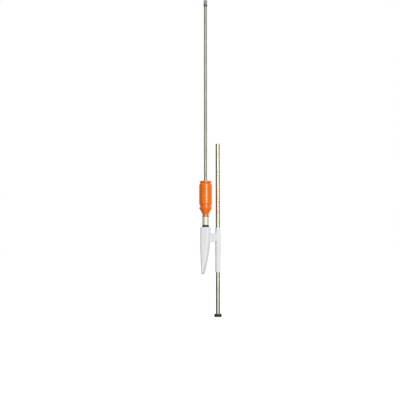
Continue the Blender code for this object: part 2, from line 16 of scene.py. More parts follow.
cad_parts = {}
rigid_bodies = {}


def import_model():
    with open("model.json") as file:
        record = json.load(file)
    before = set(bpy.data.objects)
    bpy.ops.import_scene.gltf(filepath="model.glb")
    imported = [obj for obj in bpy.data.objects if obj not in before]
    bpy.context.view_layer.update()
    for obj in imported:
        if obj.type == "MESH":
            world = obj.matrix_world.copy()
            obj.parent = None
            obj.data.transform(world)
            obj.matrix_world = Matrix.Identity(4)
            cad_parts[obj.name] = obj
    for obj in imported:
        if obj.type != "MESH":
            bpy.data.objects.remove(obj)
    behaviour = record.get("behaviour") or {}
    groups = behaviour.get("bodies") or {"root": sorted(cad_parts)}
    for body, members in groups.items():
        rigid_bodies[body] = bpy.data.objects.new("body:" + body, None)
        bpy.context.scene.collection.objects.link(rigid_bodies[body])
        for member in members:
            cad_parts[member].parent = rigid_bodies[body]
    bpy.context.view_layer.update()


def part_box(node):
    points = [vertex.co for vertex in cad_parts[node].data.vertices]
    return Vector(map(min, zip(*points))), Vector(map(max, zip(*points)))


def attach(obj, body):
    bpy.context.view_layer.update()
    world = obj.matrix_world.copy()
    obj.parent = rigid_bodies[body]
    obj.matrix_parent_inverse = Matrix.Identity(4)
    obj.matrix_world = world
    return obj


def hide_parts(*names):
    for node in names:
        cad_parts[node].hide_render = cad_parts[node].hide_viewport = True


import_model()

bl_info = {
    "name": "Log Splitter Dressing",
    "version": (1, 0, 0),
    "blender": (4, 5, 0),
    "location": "3D View > Sidebar > Log Splitter",
    "description": "Builds the visible pieces and finishes of a slide-hammer log splitter on its frame",
    "category": "Object",
}

MM = 0.001
UP = np.array([0.0, 0.0, 1.0])

# What stands for each CAD node: the end of the piece's name, its body and its material slot.
PIECES = {
    "guide_rod": ("bar", "guide_post", "polished_steel"),
    "foot_washer": ("disc", "guide_post", "blackened_steel"),
    "foot_bumper": ("ring", "guide_post", "black_rubber"),
    "sleeve_bush_lower": ("ring", "sleeve_bushes", "white_nylon"),
    "sleeve_bush_upper": ("ring", "sleeve_bushes", "white_nylon"),
    "guide_sleeve": ("tube", "splitting_head", "light_grey_paint"),
    "splitting_wedge": ("casting", "splitting_head", "light_grey_paint"),
    "rod_cross_pin": ("bar", "splitting_head", "blackened_steel"),
    "swing_arm": ("plate", "splitting_head", "light_grey_paint"),
    "striking_rod": ("bar", "splitting_head", "ground_steel"),
    "strike_ring": ("collar", "splitting_head", "blackened_steel"),
    "end_buffer": ("ring", "splitting_head", "black_rubber"),
    "end_cap": ("dome", "splitting_head", "grey_cap"),
    "hammer_nose": ("turning", "slide_hammer", "zinc_plate"),
    "nose_washer": ("ring", "slide_hammer", "yellow_zinc"),
    "hammer_bush_lower": ("ring", "hammer_bushes", "white_nylon"),
    "hammer_bush_upper": ("ring", "hammer_bushes", "white_nylon"),
    "rod_wiper": ("ring", "slide_hammer", "black_rubber"),
    "hammer_core": ("turning", "slide_hammer", "machined_steel"),
    "lower_guard": ("cup", "slide_hammer", "orange_plastic"),
    "grip_barrel": ("shell", "slide_hammer", "orange_plastic"),
    "top_guard": ("flange", "slide_hammer", "orange_plastic"),
    "top_circlip": ("ring", "slide_hammer", "blackened_steel"),
}


# ------------------------------------------------------------------ sizes and colours a user may change
def length(name, default, description):
    """A length property, in metres."""
    return FloatProperty(name=name, description=description, default=default, unit="LENGTH", precision=5)


def colour(name, default, description):
    """A colour property, scene-linear."""
    return FloatVectorProperty(
        name=name, description=description, default=default, subtype="COLOR", min=0.0, max=1.0
    )


class SplitterSizes(bpy.types.PropertyGroup):
    """Small sizes that the frame leaves to the finished piece."""

    around: IntProperty(name="Segments", description="Points round a turned piece", default=96)
    arc_steps: IntProperty(name="Arc steps", description="Steps along a rounded edge", default=5)
    play: length("Play", 0.25 * MM, "Gap between a bore and what runs in it")
    gap: length("Seat gap", 0.3 * MM, "Gap between two pieces that are pressed or stacked together")
    wedge_corner: length("Wedge corner", 9.5 * MM, "Radius of the wedge's upright corners")
    wedge_edge: length("Cutting edge", 4.0 * MM, "Thickness of the blunt cutting edge")
    wedge_offset: length("Edge offset", -12.0 * MM, "Cutting edge to the side of the striking axis")
    wedge_top_depth: length("Wedge depth", 60.0 * MM, "Wedge along its cutting edge, at the top")
    steep_power: FloatProperty(
        name="Steep face", description="How late the steep face turns in", default=3.15
    )
    sloping_power: FloatProperty(
        name="Sloping face", description="How late the sloping face turns in", default=2.10
    )
    arm_thickness: length("Arm thickness", 14.0 * MM, "Thickness of the arm's plate")
    arm_at_sleeve: length("Arm at sleeve", 34.0 * MM, "Height of the arm where it meets the sleeve")
    arm_at_wedge: length("Arm at wedge", 43.0 * MM, "Height of the arm where it meets the wedge")
    weld: length("Weld bead", 2.3 * MM, "Radius of the weld beads")
    bore_play: length("Hammer bore", 1.0 * MM, "Between the striking rod and the bore, away from the bushes")
    nose_wall: length("Nose shank wall", 3.0 * MM, "Wall of the shank that screws into the core")
    neck_wall: length("Core neck wall", 1.4 * MM, "Wall of the core's neck, round the shank")
    guard_wall: length("Guard wall", 1.6 * MM, "Wall of the lower guard at its throat")
    rim_height: length("Guard rim", 37.2 * MM, "The lower guard's widest place above its lower end")
    grip_neck: length("Grip neck", 3.2 * MM, "Wall of the grip at its lower end")
    grip_top: length("Grip top", 1.6 * MM, "Wall of the grip at its upper end")
    top_wall: length("Core top wall", 2.8 * MM, "Wall of the core's top, round the upper bush")
    flange_neck: length("Flange neck", 3.4 * MM, "Height of the top guard below its flange")
    cone_low: length("Cone bottom", 11.0 * MM, "Foot of the core's cone above the core's lower end")
    cone_high: length("Cone top", 35.5 * MM, "Top of the core's cone above the core's lower end")
    seam: length("Mould seam", 0.12 * MM, "Height of the seam that the mould leaves on the grip")


class SplitterColours(bpy.types.PropertyGroup):
    """Base colours of the finishes, scene-linear."""

    bright_steel: colour("Guide rod", (0.575, 0.565, 0.49), "Bright drawn bar")
    warm_steel: colour("Striking rod", (0.40, 0.39, 0.345), "Warm grey drawn bar")
    plated: colour("Plated nose", (0.78, 0.78, 0.73), "Bright zinc plate")
    yellow: colour("Yellow washer", (0.42, 0.36, 0.15), "Yellow passivated zinc")
    dark_steel: colour("Blackened steel", (0.050, 0.048, 0.042), "Black oxide on steel")
    bare_steel: colour("Bare steel", (0.52, 0.51, 0.49), "Steel where the coating has gone")
    coating: colour("Coating", (0.74, 0.76, 0.80), "Pale grey coating of the splitting head")
    orange: colour("Orange", (0.86, 0.158, 0.001), "Moulded orange plastic")
    rubber: colour("Rubber", (0.014, 0.013, 0.012), "Black rubber")
    nylon: colour("Nylon", (0.74, 0.72, 0.66), "Off-white nylon")
    cap: colour("End cap", (0.27, 0.27, 0.26), "Grey moulded end cap")


class SplitterStage(bpy.types.PropertyGroup):
    """Where the camera stands, and how strong the lights are."""

    azimuth: FloatProperty(name="Azimuth", description="Camera round the object, degrees", default=10.0)
    distance: length("Distance", 3.008, "Camera from the guide rod, measured level")
    height: length("Height", 0.3093, "Camera above the block")
    pitch: FloatProperty(name="Pitch", description="How far the camera looks up, degrees", default=4.467)
    lens: FloatProperty(name="Lens", description="Focal length in mm", default=57.6)
    aside: length("Aside", 0.0837, "How far the camera stands to the left of the guide rod")
    key: FloatProperty(name="Key strip", description="Power of the key strip, watts", default=24.0)
    fill: FloatProperty(name="Soft panel", description="Power of the soft panel, watts", default=15.0)
    streak: FloatProperty(
        name="Grip strip", description="Power of the strip that only the grip sees, watts", default=60.0
    )


def sizes():
    """The sizes as the panel shows them."""
    return bpy.context.scene.splitter_sizes


def colours():
    """The colours as the panel shows them."""
    return bpy.context.scene.splitter_colours


# ------------------------------------------------------------------ the frame
class Place:
    """A CAD node's box: its vertical axis, its ends and its radius across X."""

    def __init__(self, node):
        low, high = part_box(node)
        self.low, self.high = np.array(low), np.array(high)
        self.axis = (self.low + self.high)[:2] / 2
        self.bottom, self.top = self.low[2], self.high[2]
        self.radius = (self.high[0] - self.low[0]) / 2


# ------------------------------------------------------------------ profiles
ROUNDING_SHARE = 0.49  # of a profile's side, the most that the rounding of one of its ends may take
NEARLY_STRAIGHT = math.radians(88)  # half the angle of a corner that is too flat to round


def soften(corners, steps, closed=True):
    """Rounds the corners of a profile. A corner is (r, z, radius), and each becomes an arc that is
    tangent to both its neighbours: its ends lie radius / tan(half the corner's angle) from the corner."""
    points = []
    last = len(corners)
    for i, (r, z, radius) in enumerate(corners):
        here = np.array([r, z])
        if radius == 0 or (not closed and i in (0, last - 1)):
            points.append(here)
            continue
        before = np.array(corners[i - 1][:2]) - here
        after = np.array(corners[(i + 1) % last][:2]) - here
        room = ROUNDING_SHARE * min(np.linalg.norm(before), np.linalg.norm(after))
        before, after = before / np.linalg.norm(before), after / np.linalg.norm(after)
        half = math.acos(np.clip(before @ after, -1, 1)) / 2
        if half > NEARLY_STRAIGHT:
            points.append(here)
            continue
        reach = min(radius / math.tan(half), room)
        radius = reach * math.tan(half)
        middle = here + (before + after) / np.linalg.norm(before + after) * radius / math.sin(half)
        start, end = here + before * reach - middle, here + after * reach - middle
        turn = math.atan2(start[0] * end[1] - start[1] * end[0], start @ end)
        angles = math.atan2(start[1], start[0]) + turn * np.linspace(0, 1, steps + 1)
        points += list(middle + radius * np.stack([np.cos(angles), np.sin(angles)], axis=1))
    return np.array(points)


def ring_profile(inner, outer, bottom, top, edge, bore_edge=None):
    """The section of a ring, anticlockwise with r to the right, with rounded edges."""
    bore_edge = edge if bore_edge is None else bore_edge
    return [
        (inner, bottom, bore_edge),
        (outer, bottom, edge),
        (outer, top, edge),
        (inner, top, bore_edge),
    ]


def evenly(profile, step, closed=True):
    """The profile with extra points on its long straight stretches, none longer than the step."""
    pairs = list(zip(profile, np.roll(profile, -1, axis=0)))
    out = []
    for here, after in pairs if closed else pairs[:-1]:
        count = max(1, math.ceil(np.linalg.norm(after - here) / step))
        out.append(here + (after - here) * np.arange(count)[:, None] / count)
    if not closed:
        out.append(profile[-1:])
    return np.concatenate(out)


# ------------------------------------------------------------------ surfaces
SHARP_TURNING, SHARP_CASTING, SHARP_WELD = 40, 50, 80
BEAD_AROUND = 14  # points round a weld bead
BEAD_SWELL = 0.10  # how much its radius swells, as a share
BEAD_SLIP = 0.35  # how far its crown leans along the path, as a share of its radius


def grid_faces(rows, columns, wrap_rows):
    """Quads between neighbouring points of a grid whose columns always close on themselves."""
    last = rows if wrap_rows else rows - 1
    row, column = np.meshgrid(np.arange(last), np.arange(columns), indexing="ij")
    after_row, after_column = (row + 1) % rows, (column + 1) % columns
    quads = np.stack(
        [
            row * columns + column,
            row * columns + after_column,
            after_row * columns + after_column,
            after_row * columns + column,
        ],
        axis=-1,
    )
    return quads.reshape(-1, 4)


def fan_faces(ring, centre, facing_up):
    """Triangles from a ring of point numbers to a single centre point."""
    after = np.roll(ring, -1)
    middle = np.full_like(ring, centre)
    order = (ring, after, middle) if facing_up else (after, ring, middle)
    return np.stack(order, axis=-1)


def capped_mesh(name, rows, columns, ends=None):
    """A tube of rows of points, each closed on itself and turning anticlockwise as seen from its last
    row, with a fan of triangles from a middle point over each end."""
    points = np.concatenate(rows)
    ends = [rows[0].mean(axis=0), rows[-1].mean(axis=0)] if ends is None else ends
    points = np.concatenate([points, ends])
    first = np.arange(columns)
    last = first + (len(rows) - 1) * columns
    fans = [fan_faces(first, len(points) - 2, False), fan_faces(last, len(points) - 1, True)]
    return put_mesh(name, points, grid_faces(len(rows), columns, False), np.concatenate(fans))


def put_mesh(name, points, quads, triangles=()):
    """Puts arrays of points, quads and triangles into a mesh."""
    mesh = bpy.data.meshes.new(name)
    triangles = np.asarray(triangles, int).reshape(-1, 3)
    loops = np.concatenate([quads.ravel(), triangles.ravel()]).astype(np.int32)
    corner_counts = np.concatenate([np.full(len(quads), 4), np.full(len(triangles), 3)])
    starts = np.concatenate([[0], np.cumsum(corner_counts)[:-1]]).astype(np.int32)
    mesh.vertices.add(len(points))
    mesh.vertices.foreach_set("co", np.asarray(points, np.float32).ravel())
    mesh.loops.add(len(loops))
    mesh.loops.foreach_set("vertex_index", loops)
    mesh.polygons.add(len(starts))
    mesh.polygons.foreach_set("loop_start", starts)
    mesh.update(calc_edges=True)
    mesh.validate()
    return mesh


def place_piece(name, mesh, material, body, stands_for=(), sharp=SHARP_TURNING):
    """Makes a finished piece of a mesh: its finish, shading and body; it hides the CAD nodes it stands for.
    Edges of more than the sharp angle, in degrees, stay crisp."""
    mesh.materials.append(material)
    mesh.shade_smooth()
    mesh.set_sharp_from_angle(angle=math.radians(sharp))
    piece = bpy.data.objects.new(name, mesh)
    bpy.context.scene.collection.objects.link(piece)
    normals = piece.modifiers.new("normals", "WEIGHTED_NORMAL")
    normals.keep_sharp = True
    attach(piece, body)
    if stands_for:
        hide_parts(*stands_for)
    return piece


def piece_name(node):
    """The name of the piece that stands for a CAD node."""
    return f"{node}_{PIECES[node][0]}"


def stand_for(node, mesh, material, sharp=SHARP_TURNING):
    """Places the piece that stands for a CAD node on the body that its row gives; the row's slot is not
    used.
    """
    _, body, slot = PIECES[node]
    mesh.name = piece_name(node)
    return place_piece(mesh.name, mesh, material, body, [node], sharp)


def lathe_mesh(name, profile, axis, bulge=None):
    """A turned surface: each profile point (r, z) is carried round the upright axis, so that
    x = axis x + r cos a and y = axis y + r sin a. A profile whose ends have r = 0 closes in poles.
    bulge(r, z, a) may add to the radius."""
    around = sizes().around
    angle = np.arange(around) * math.tau / around
    open_ends = profile[0, 0] == 0.0
    rings = profile[1:-1] if open_ends else profile
    r, z = rings[:, 0][:, None], rings[:, 1][:, None]
    reach = r + (0 if bulge is None else bulge(r, z, angle[None, :]))
    x = axis[0] + reach * np.cos(angle)
    y = axis[1] + reach * np.sin(angle)
    points = np.stack([x, y, np.broadcast_to(z, x.shape)], axis=-1).reshape(-1, 3)
    quads = grid_faces(len(rings), around, not open_ends)
    triangles = []
    if open_ends:
        foot, head = len(points), len(points) + 1
        poles = [[axis[0], axis[1], profile[0, 1]], [axis[0], axis[1], profile[-1, 1]]]
        points = np.concatenate([points, poles])
        first = np.arange(around)
        triangles = np.concatenate(
            [fan_faces(first, foot, False), fan_faces(first + (len(rings) - 1) * around, head, True)]
        )
    return put_mesh(name, points, quads, triangles)


def turned(node, corners, axis, material, closed=True, bulge=None, step=None):
    """The turned piece that stands for a CAD node, from profile corners (r, z, edge radius). A closed
    profile goes all the way round a ring's section, and an open one runs from pole to pole."""
    profile = soften(corners, sizes().arc_steps, closed)
    if step:
        profile = evenly(profile, step, closed)
    return stand_for(node, lathe_mesh(node, profile, axis, bulge), material)


def bead_mesh(name, path, outward, radius, ripple):
    """A weld bead: a closed tube round a path. The tube's section is a circle in the plane of the outward
    direction and of the cross product of it and the path, its radius swells along the path with a
    cosine, once every ripple, and its points slip along the path with the sine round the section."""
    ahead = np.roll(path, -1, axis=0) - np.roll(path, 1, axis=0)
    ahead /= np.linalg.norm(ahead, axis=1)[:, None]
    side = np.cross(ahead, outward)
    side /= np.linalg.norm(side, axis=1)[:, None]
    lift = np.cross(side, ahead)
    stretch = np.linalg.norm(np.roll(path, -1, axis=0) - path, axis=1)
    along = np.cumsum(stretch) - stretch
    turns = round(stretch.sum() / ripple)
    phase = along / stretch.sum() * turns * math.tau
    angle = np.arange(BEAD_AROUND) * math.tau / BEAD_AROUND
    swell = radius * (1 + BEAD_SWELL * np.cos(phase))[:, None, None]
    ring = side[:, None] * np.cos(angle)[None, :, None] + lift[:, None] * np.sin(angle)[None, :, None]
    slip = ahead[:, None] * (BEAD_SLIP * radius * np.sin(angle))[None, :, None]
    points = (path[:, None] + ring * swell + slip).reshape(-1, 3)
    quads = grid_faces(len(path), BEAD_AROUND, True)
    return put_mesh(name, points, quads[:, ::-1])


# ------------------------------------------------------------------ finishes
# A noise's scale is in cells per metre, a bump's distance is in metres, and shares run from 0 to 1.
MOST = (0.3, 0.7)  # the stretch that nearly all of a noise's values lie in
RUST_SPOT = (0.20, 0.15, 0.10)
RUBBED_BLACK = (0.22, 0.21, 0.19)
PALE_DUST = (0.16, 0.145, 0.12)
MIX_COLOURS, MIX_RESULT = (6, 7), 2  # the colour sockets of a Mix node
ORANGE_GLOSS = 0.46  # specular level of the orange mouldings


class Nodes:
    """A small builder of nodes in a tree."""

    def __init__(self, tree):
        self.tree = tree

    def node(self, kind, **sockets):
        """A node of a kind, with values or links for its inputs by name, spaces as underscores."""
        made = self.tree.nodes.new(kind)
        for key, value in sockets.items():
            self.join(made.inputs[key.replace("_", " ")], value)
        return made

    def join(self, socket, value):
        """Links a socket to a source, or sets its value."""
        if isinstance(value, bpy.types.NodeSocket):
            self.tree.links.new(value, socket)
        else:
            socket.default_value = value

    def maths(self, operation, *values):
        """The result of one sum of values or sources."""
        made = self.tree.nodes.new("ShaderNodeMath")
        made.operation = operation
        for socket, value in zip(made.inputs, values):
            self.join(socket, value)
        return made.outputs["Value"]

    def noise(self, source, scale, detail=3.0, roughness=0.55):
        """Noise with so many cells to the metre."""
        made = self.node("ShaderNodeTexNoise", Vector=source, Scale=scale, Detail=detail)
        made.inputs["Roughness"].default_value = roughness
        return made.outputs["Fac"]

    def span(self, source, low, high, to_low=0.0, to_high=1.0):
        """The source's stretch from low to high, spread over to_low to to_high and clamped."""
        made = self.node("ShaderNodeMapRange", Value=source)
        for key, value in zip(("From Min", "From Max", "To Min", "To Max"), (low, high, to_low, to_high)):
            made.inputs[key].default_value = value
        return made.outputs["Result"]

    def mix(self, share, first, second):
        """The first colour, with a share of the second over it."""
        made = self.tree.nodes.new("ShaderNodeMix")
        made.data_type = "RGBA"
        self.join(made.inputs["Factor"], share)
        for index, value in zip(MIX_COLOURS, (first, second)):
            linked = isinstance(value, bpy.types.NodeSocket)
            self.join(made.inputs[index], value if linked else (*value, 1.0))
        return made.outputs[MIX_RESULT]


class Finish(Nodes):
    """A material with one Principled shader, and the patterns that feed it."""

    def __init__(self, name, base, roughness, metallic=0.0):
        self.material = bpy.data.materials.new(name)
        self.material.use_nodes = True
        super().__init__(self.material.node_tree)
        self.shader = self.tree.nodes["Principled BSDF"]
        self.shader.inputs["Metallic"].default_value = metallic
        self.shader.inputs["Roughness"].default_value = roughness
        self.shader.inputs["Base Color"].default_value = (*base, 1.0)
        self.place = self.node("ShaderNodeTexCoord").outputs["Object"]

    def centred(self, axis):
        """Object coordinates with the upright axis at x = y = 0."""
        mapping = self.node("ShaderNodeMapping", Vector=self.place)
        mapping.inputs["Location"].default_value = (-axis[0], -axis[1], 0.0)
        return mapping.outputs["Vector"]

    def stretched(self, source, scale):
        """Coordinates times a scale: under 1, the pattern grows along that axis."""
        mapping = self.node("ShaderNodeMapping", Vector=source)
        mapping.inputs["Scale"].default_value = scale
        return mapping.outputs["Vector"]

    def ringed(self, source):
        """Coordinates whose pattern runs in rings: (distance from the axis, height, 0)."""
        split = self.node("ShaderNodeSeparateXYZ", Vector=source)
        squares = [self.maths("MULTIPLY", split.outputs[i], split.outputs[i]) for i in range(2)]
        reach = self.maths("SQRT", self.maths("ADD", *squares))
        return self.node("ShaderNodeCombineXYZ", X=reach, Y=split.outputs[2]).outputs["Vector"]

    def bump(self, height, distance, under=None):
        """A normal bent by a height, on top of the one under it."""
        made = self.node("ShaderNodeBump", Height=height, Distance=distance)
        if under is not None:
            self.join(made.inputs["Normal"], under)
        return made.outputs["Normal"]

    def use(self, **sockets):
        """Joins the shader's inputs by name, and gives the finished material."""
        for key, value in sockets.items():
            self.join(self.shader.inputs[key.replace("_", " ")], value)
        return self.material


def shade(base, factor):
    """A colour made lighter or darker by a factor, with no part above 1."""
    return tuple(min(1.0, part * factor) for part in base)


def drawn_bar(name, base, axis, roughness, dirt):
    """Drawn steel bar: fine lines along its length, long soft streaks, and small dull spots."""
    made = Finish(name, base, roughness, 1.0)
    here = made.centred(axis)
    lines = made.noise(made.stretched(here, (1.0, 1.0, 0.012)), 1900.0, 2.0)
    streaks = made.noise(made.stretched(here, (1.0, 1.0, 0.05)), 160.0, 3.0)
    spots = made.span(made.noise(here, 420.0, 4.0, 0.7), 0.62, 0.72)
    patches = made.span(made.noise(here, 9.0, 3.0), 0.42, 0.66)
    tone = made.mix(made.span(streaks, 0.35, 0.65), shade(base, 0.90), shade(base, 1.08))
    tone = made.mix(made.maths("MULTIPLY", patches, dirt), tone, shade(base, 0.72))
    tone = made.mix(made.maths("MULTIPLY", spots, 0.35), tone, RUST_SPOT)
    rough = made.span(lines, *MOST, roughness * 0.85, roughness * 1.2)
    rough = made.maths("ADD", rough, made.maths("MULTIPLY", patches, 0.10))
    rough = made.maths("ADD", rough, made.maths("MULTIPLY", spots, 0.18))
    return made.use(Base_Color=tone, Roughness=rough, Normal=made.bump(lines, 0.006 * MM))


def turned_metal(name, base, axis, roughness, metallic=1.0):
    """Turned steel: fine rings from the tool, round the axis and across the faces."""
    made = Finish(name, base, roughness, metallic)
    here = made.centred(axis)
    rings = made.noise(made.ringed(here), 2600.0, 2.0)
    clouds = made.noise(here, 60.0, 3.0)
    tone = made.mix(made.span(clouds, *MOST), shade(base, 0.88), shade(base, 1.06))
    tone = made.mix(made.span(rings, 0.35, 0.65, 0.0, 0.25), tone, shade(base, 0.8))
    rough = made.span(rings, *MOST, roughness * 0.8, roughness * 1.25)
    return made.use(Base_Color=tone, Roughness=rough, Normal=made.bump(rings, 0.025 * MM))


def dark_metal(name, base, axis):
    """Blackened steel: cloudy, and rubbed a little brighter in fine specks."""
    made = Finish(name, base, 0.42, 0.75)
    here = made.centred(axis)
    clouds = made.noise(here, 120.0, 4.0)
    specks = made.span(made.noise(here, 900.0, 2.0), 0.64, 0.74)
    tone = made.mix(made.span(clouds, *MOST), shade(base, 0.7), shade(base, 1.7))
    tone = made.mix(made.maths("MULTIPLY", specks, 0.5), tone, RUBBED_BLACK)
    rough = made.span(clouds, *MOST, 0.34, 0.52)
    return made.use(Base_Color=tone, Roughness=rough, Normal=made.bump(clouds, 0.04 * MM))


def coating(name, base, bare, edge_height):
    """Sprayed coating on steel: a fine peel, faint clouds, rubs with the grain of the wood, and bare
    metal that shows through in streaks within 14 mm of the cutting edge, at the edge height given."""
    made = Finish(name, base, 0.40)
    height = made.node("ShaderNodeSeparateXYZ", Vector=made.place).outputs["Z"]
    peel = made.noise(made.place, 620.0, 2.0)
    clouds = made.noise(made.place, 22.0, 4.0)
    rubs = made.noise(made.stretched(made.place, (1.0, 1.0, 0.06)), 230.0, 4.0, 0.65)
    near_edge = made.span(height, edge_height, edge_height + 14 * MM, 1.0, 0.0)
    low_down = made.span(height, edge_height + 10 * MM, edge_height + 150 * MM, 1.0, 0.0)
    rubbed = made.span(made.maths("ADD", rubs, made.maths("MULTIPLY", low_down, 0.06)), 0.60, 0.70)
    worn = made.span(made.maths("ADD", rubs, made.maths("MULTIPLY", near_edge, 0.30)), 0.72, 0.80)
    tone = made.mix(made.span(clouds, *MOST), shade(base, 0.965), shade(base, 1.02))
    tone = made.mix(made.maths("MULTIPLY", rubbed, 0.14), tone, shade(base, 0.70))
    tone = made.mix(worn, tone, bare)
    rough = made.span(made.noise(made.place, 45.0, 3.0), *MOST, 0.34, 0.48)
    rough = made.maths("SUBTRACT", rough, made.maths("MULTIPLY", worn, 0.08))
    chips = made.bump(made.maths("SUBTRACT", 1.0, worn), 0.12 * MM)
    return made.use(
        Base_Color=tone, Roughness=rough, Metallic=worn, Normal=made.bump(peel, 0.03 * MM, chips)
    )


def moulded(name, base, axis, roughness):
    """Moulded plastic: an even colour with faint flow marks, a fine skin, and light scuffs."""
    made = Finish(name, base, roughness)
    here = made.centred(axis)
    flow = made.noise(made.stretched(here, (1.0, 1.0, 0.35)), 34.0, 4.0)
    skin = made.noise(here, 1500.0, 2.0)
    scuffs = made.span(made.noise(made.stretched(here, (1.0, 1.0, 0.25)), 260.0, 4.0, 0.7), 0.60, 0.70)
    tone = made.mix(made.span(flow, *MOST), shade(base, 0.94), shade(base, 1.05))
    tone = made.mix(made.maths("MULTIPLY", scuffs, 0.10), tone, shade(base, 1.15))
    rough = made.span(flow, *MOST, roughness * 0.85, roughness * 1.2)
    rough = made.maths("ADD", rough, made.maths("MULTIPLY", scuffs, 0.10))
    return made.use(Base_Color=tone, Roughness=rough, Normal=made.bump(skin, 0.01 * MM))


def rubbery(name, base, axis):
    """Black rubber: matt, a little grainy, with pale dust in patches."""
    made = Finish(name, base, 0.5)
    here = made.centred(axis)
    grain = made.noise(here, 1300.0, 3.0)
    dust = made.span(made.noise(here, 150.0, 5.0, 0.65), 0.50, 0.72)
    tone = made.mix(made.maths("MULTIPLY", dust, 0.30), base, PALE_DUST)
    rough = made.span(grain, *MOST, 0.42, 0.66)
    return made.use(Base_Color=tone, Roughness=rough, Normal=made.bump(grain, 0.06 * MM))


# ------------------------------------------------------------------ operators
# The sleeve's and the arm's coating wears as if the cutting edge lay this far below the real one.
WEAR_OFFSET = 100 * MM


class SPLITTER_OT_guide_post(bpy.types.Operator):
    """Build the guide rod, and the washer and rubber bumper at its foot"""

    bl_idname = "splitter.guide_post"
    bl_label = "Guide Post"
    bl_options = {"REGISTER", "UNDO"}

    def execute(self, context):
        rod, washer, bumper = Place("guide_rod"), Place("foot_washer"), Place("foot_bumper")
        tint = colours()
        steel = drawn_bar("bright_drawn_bar", tint.bright_steel, rod.axis, roughness=0.24, dirt=0.25)
        point, point_length, chamfer = 4.0 * MM, 20.0 * MM, 1.5 * MM
        corners = [
            (0.0, rod.bottom, 0),
            (point, rod.bottom, 0.8 * MM),
            (rod.radius, rod.bottom + point_length, 2.0 * MM),
            (rod.radius, rod.top - chamfer, 0.5 * MM),
            (rod.radius - chamfer, rod.top, 0.5 * MM),
            (0.0, rod.top, 0),
        ]
        turned("guide_rod", corners, rod.axis, steel, closed=False)
        bore = rod.radius + sizes().play
        black = dark_metal("foot_black_steel", tint.dark_steel, rod.axis)
        ring = ring_profile(bore, washer.radius, washer.bottom, washer.top, 0.5 * MM)
        turned("foot_washer", ring, rod.axis, black)
        soft = rubbery("foot_rubber", tint.rubber, rod.axis)
        groove, groove_half, middle = 0.8 * MM, 1.3 * MM, (bumper.top + bumper.bottom) / 2
        corners = [
            (bore, bumper.bottom, 0.6 * MM),
            (bumper.radius, bumper.bottom, 1.2 * MM),
            (bumper.radius, middle - groove_half, 0.5 * MM),
            (bumper.radius - groove, middle, 0.6 * MM),
            (bumper.radius, middle + groove_half, 0.5 * MM),
            (bumper.radius, bumper.top, 2.2 * MM),
            (bore, bumper.top, 0.8 * MM),
        ]
        turned("foot_bumper", corners, rod.axis, soft)
        return {"FINISHED"}


class SPLITTER_OT_sleeve(bpy.types.Operator):
    """Build the sleeve that runs on the guide rod, and its two bushes"""

    bl_idname = "splitter.sleeve"
    bl_label = "Guide Sleeve"
    bl_options = {"REGISTER", "UNDO"}

    def execute(self, context):
        sleeve, rod, wedge = Place("guide_sleeve"), Place("guide_rod"), Place("splitting_wedge")
        tint = colours()
        nylon = moulded("bush_nylon", tint.nylon, sleeve.axis, roughness=0.45)
        for node in ("sleeve_bush_lower", "sleeve_bush_upper"):
            bush = Place(node)
            ring = ring_profile(rod.radius + sizes().play, bush.radius, bush.bottom, bush.top, 0.3 * MM)
            turned(node, ring, sleeve.axis, nylon)
        inner = Place("sleeve_bush_upper").radius + sizes().play
        paint = coating("sleeve_coating", tint.coating, tint.bare_steel, wedge.bottom - WEAR_OFFSET)
        ring = ring_profile(inner, sleeve.radius, sleeve.bottom, sleeve.top, 0.6 * MM, 0.3 * MM)
        turned("guide_sleeve", ring, sleeve.axis, paint, step=20 * MM)
        return {"FINISHED"}


WEDGE_STEPS = 8  # along each rounded corner and each side of the wedge's outline
WEDGE_ROWS = 44  # outlines from its edge to its top
ROUND_ROWS = 4  # outlines over the roundings at its edge and its top
EDGE_ROUND_SHARE = 0.42  # the cutting edge's rounding, of its thickness
TOP_RINGS = (0.34, 0.67)  # rings on the flat top, as shares of the way from its rim to the bore
PIN_HOLE_POINTS = 48


def wedge_sides(down, place):
    """The wedge's sides a share `down` of the way from its top to its edge, from the striking axis: its
    steep and its sloping side each move in as down to that face's own power, and half its depth grows
    in step with down."""
    size = sizes()
    half = (place.high[0] - place.low[0]) / 2
    steep_end = size.wedge_offset - size.wedge_edge / 2
    sloping_end = size.wedge_offset + size.wedge_edge / 2
    left = -half + (steep_end + half) * down**size.steep_power
    right = half + (sloping_end - half) * down**size.sloping_power
    full_depth = place.high[1] - place.low[1]
    deep = (size.wedge_top_depth + (full_depth - size.wedge_top_depth) * down) / 2
    return left, right, deep


def wedge_outline(down, place, inset=0.0):
    """The wedge's outline at that share, drawn in by the inset: a rectangle whose corners are quarter
    circles, with even steps along the straight sides between them."""
    left, right, deep = wedge_sides(down, place)
    left, right, deep = left + inset, right - inset, deep - inset
    radius = min(sizes().wedge_corner, ROUNDING_SHARE * (right - left))
    middles = np.array([
        (right - radius, deep - radius),
        (left + radius, deep - radius),
        (left + radius, radius - deep),
        (right - radius, radius - deep),
    ])
    turn = np.linspace(0, math.pi / 2, WEDGE_STEPS + 1) + np.arange(4)[:, None] * math.pi / 2
    arcs = middles[:, None] + radius * np.stack([np.cos(turn), np.sin(turn)], axis=-1)
    starts, ends = arcs[:, -1:], np.roll(arcs, -1, axis=0)[:, :1]
    share = np.linspace(0, 1, WEDGE_STEPS + 1)[1:-1, None]
    sides = starts + (ends - starts) * share
    return np.concatenate([arcs, sides], axis=1).reshape(-1, 2) + Place("striking_rod").axis


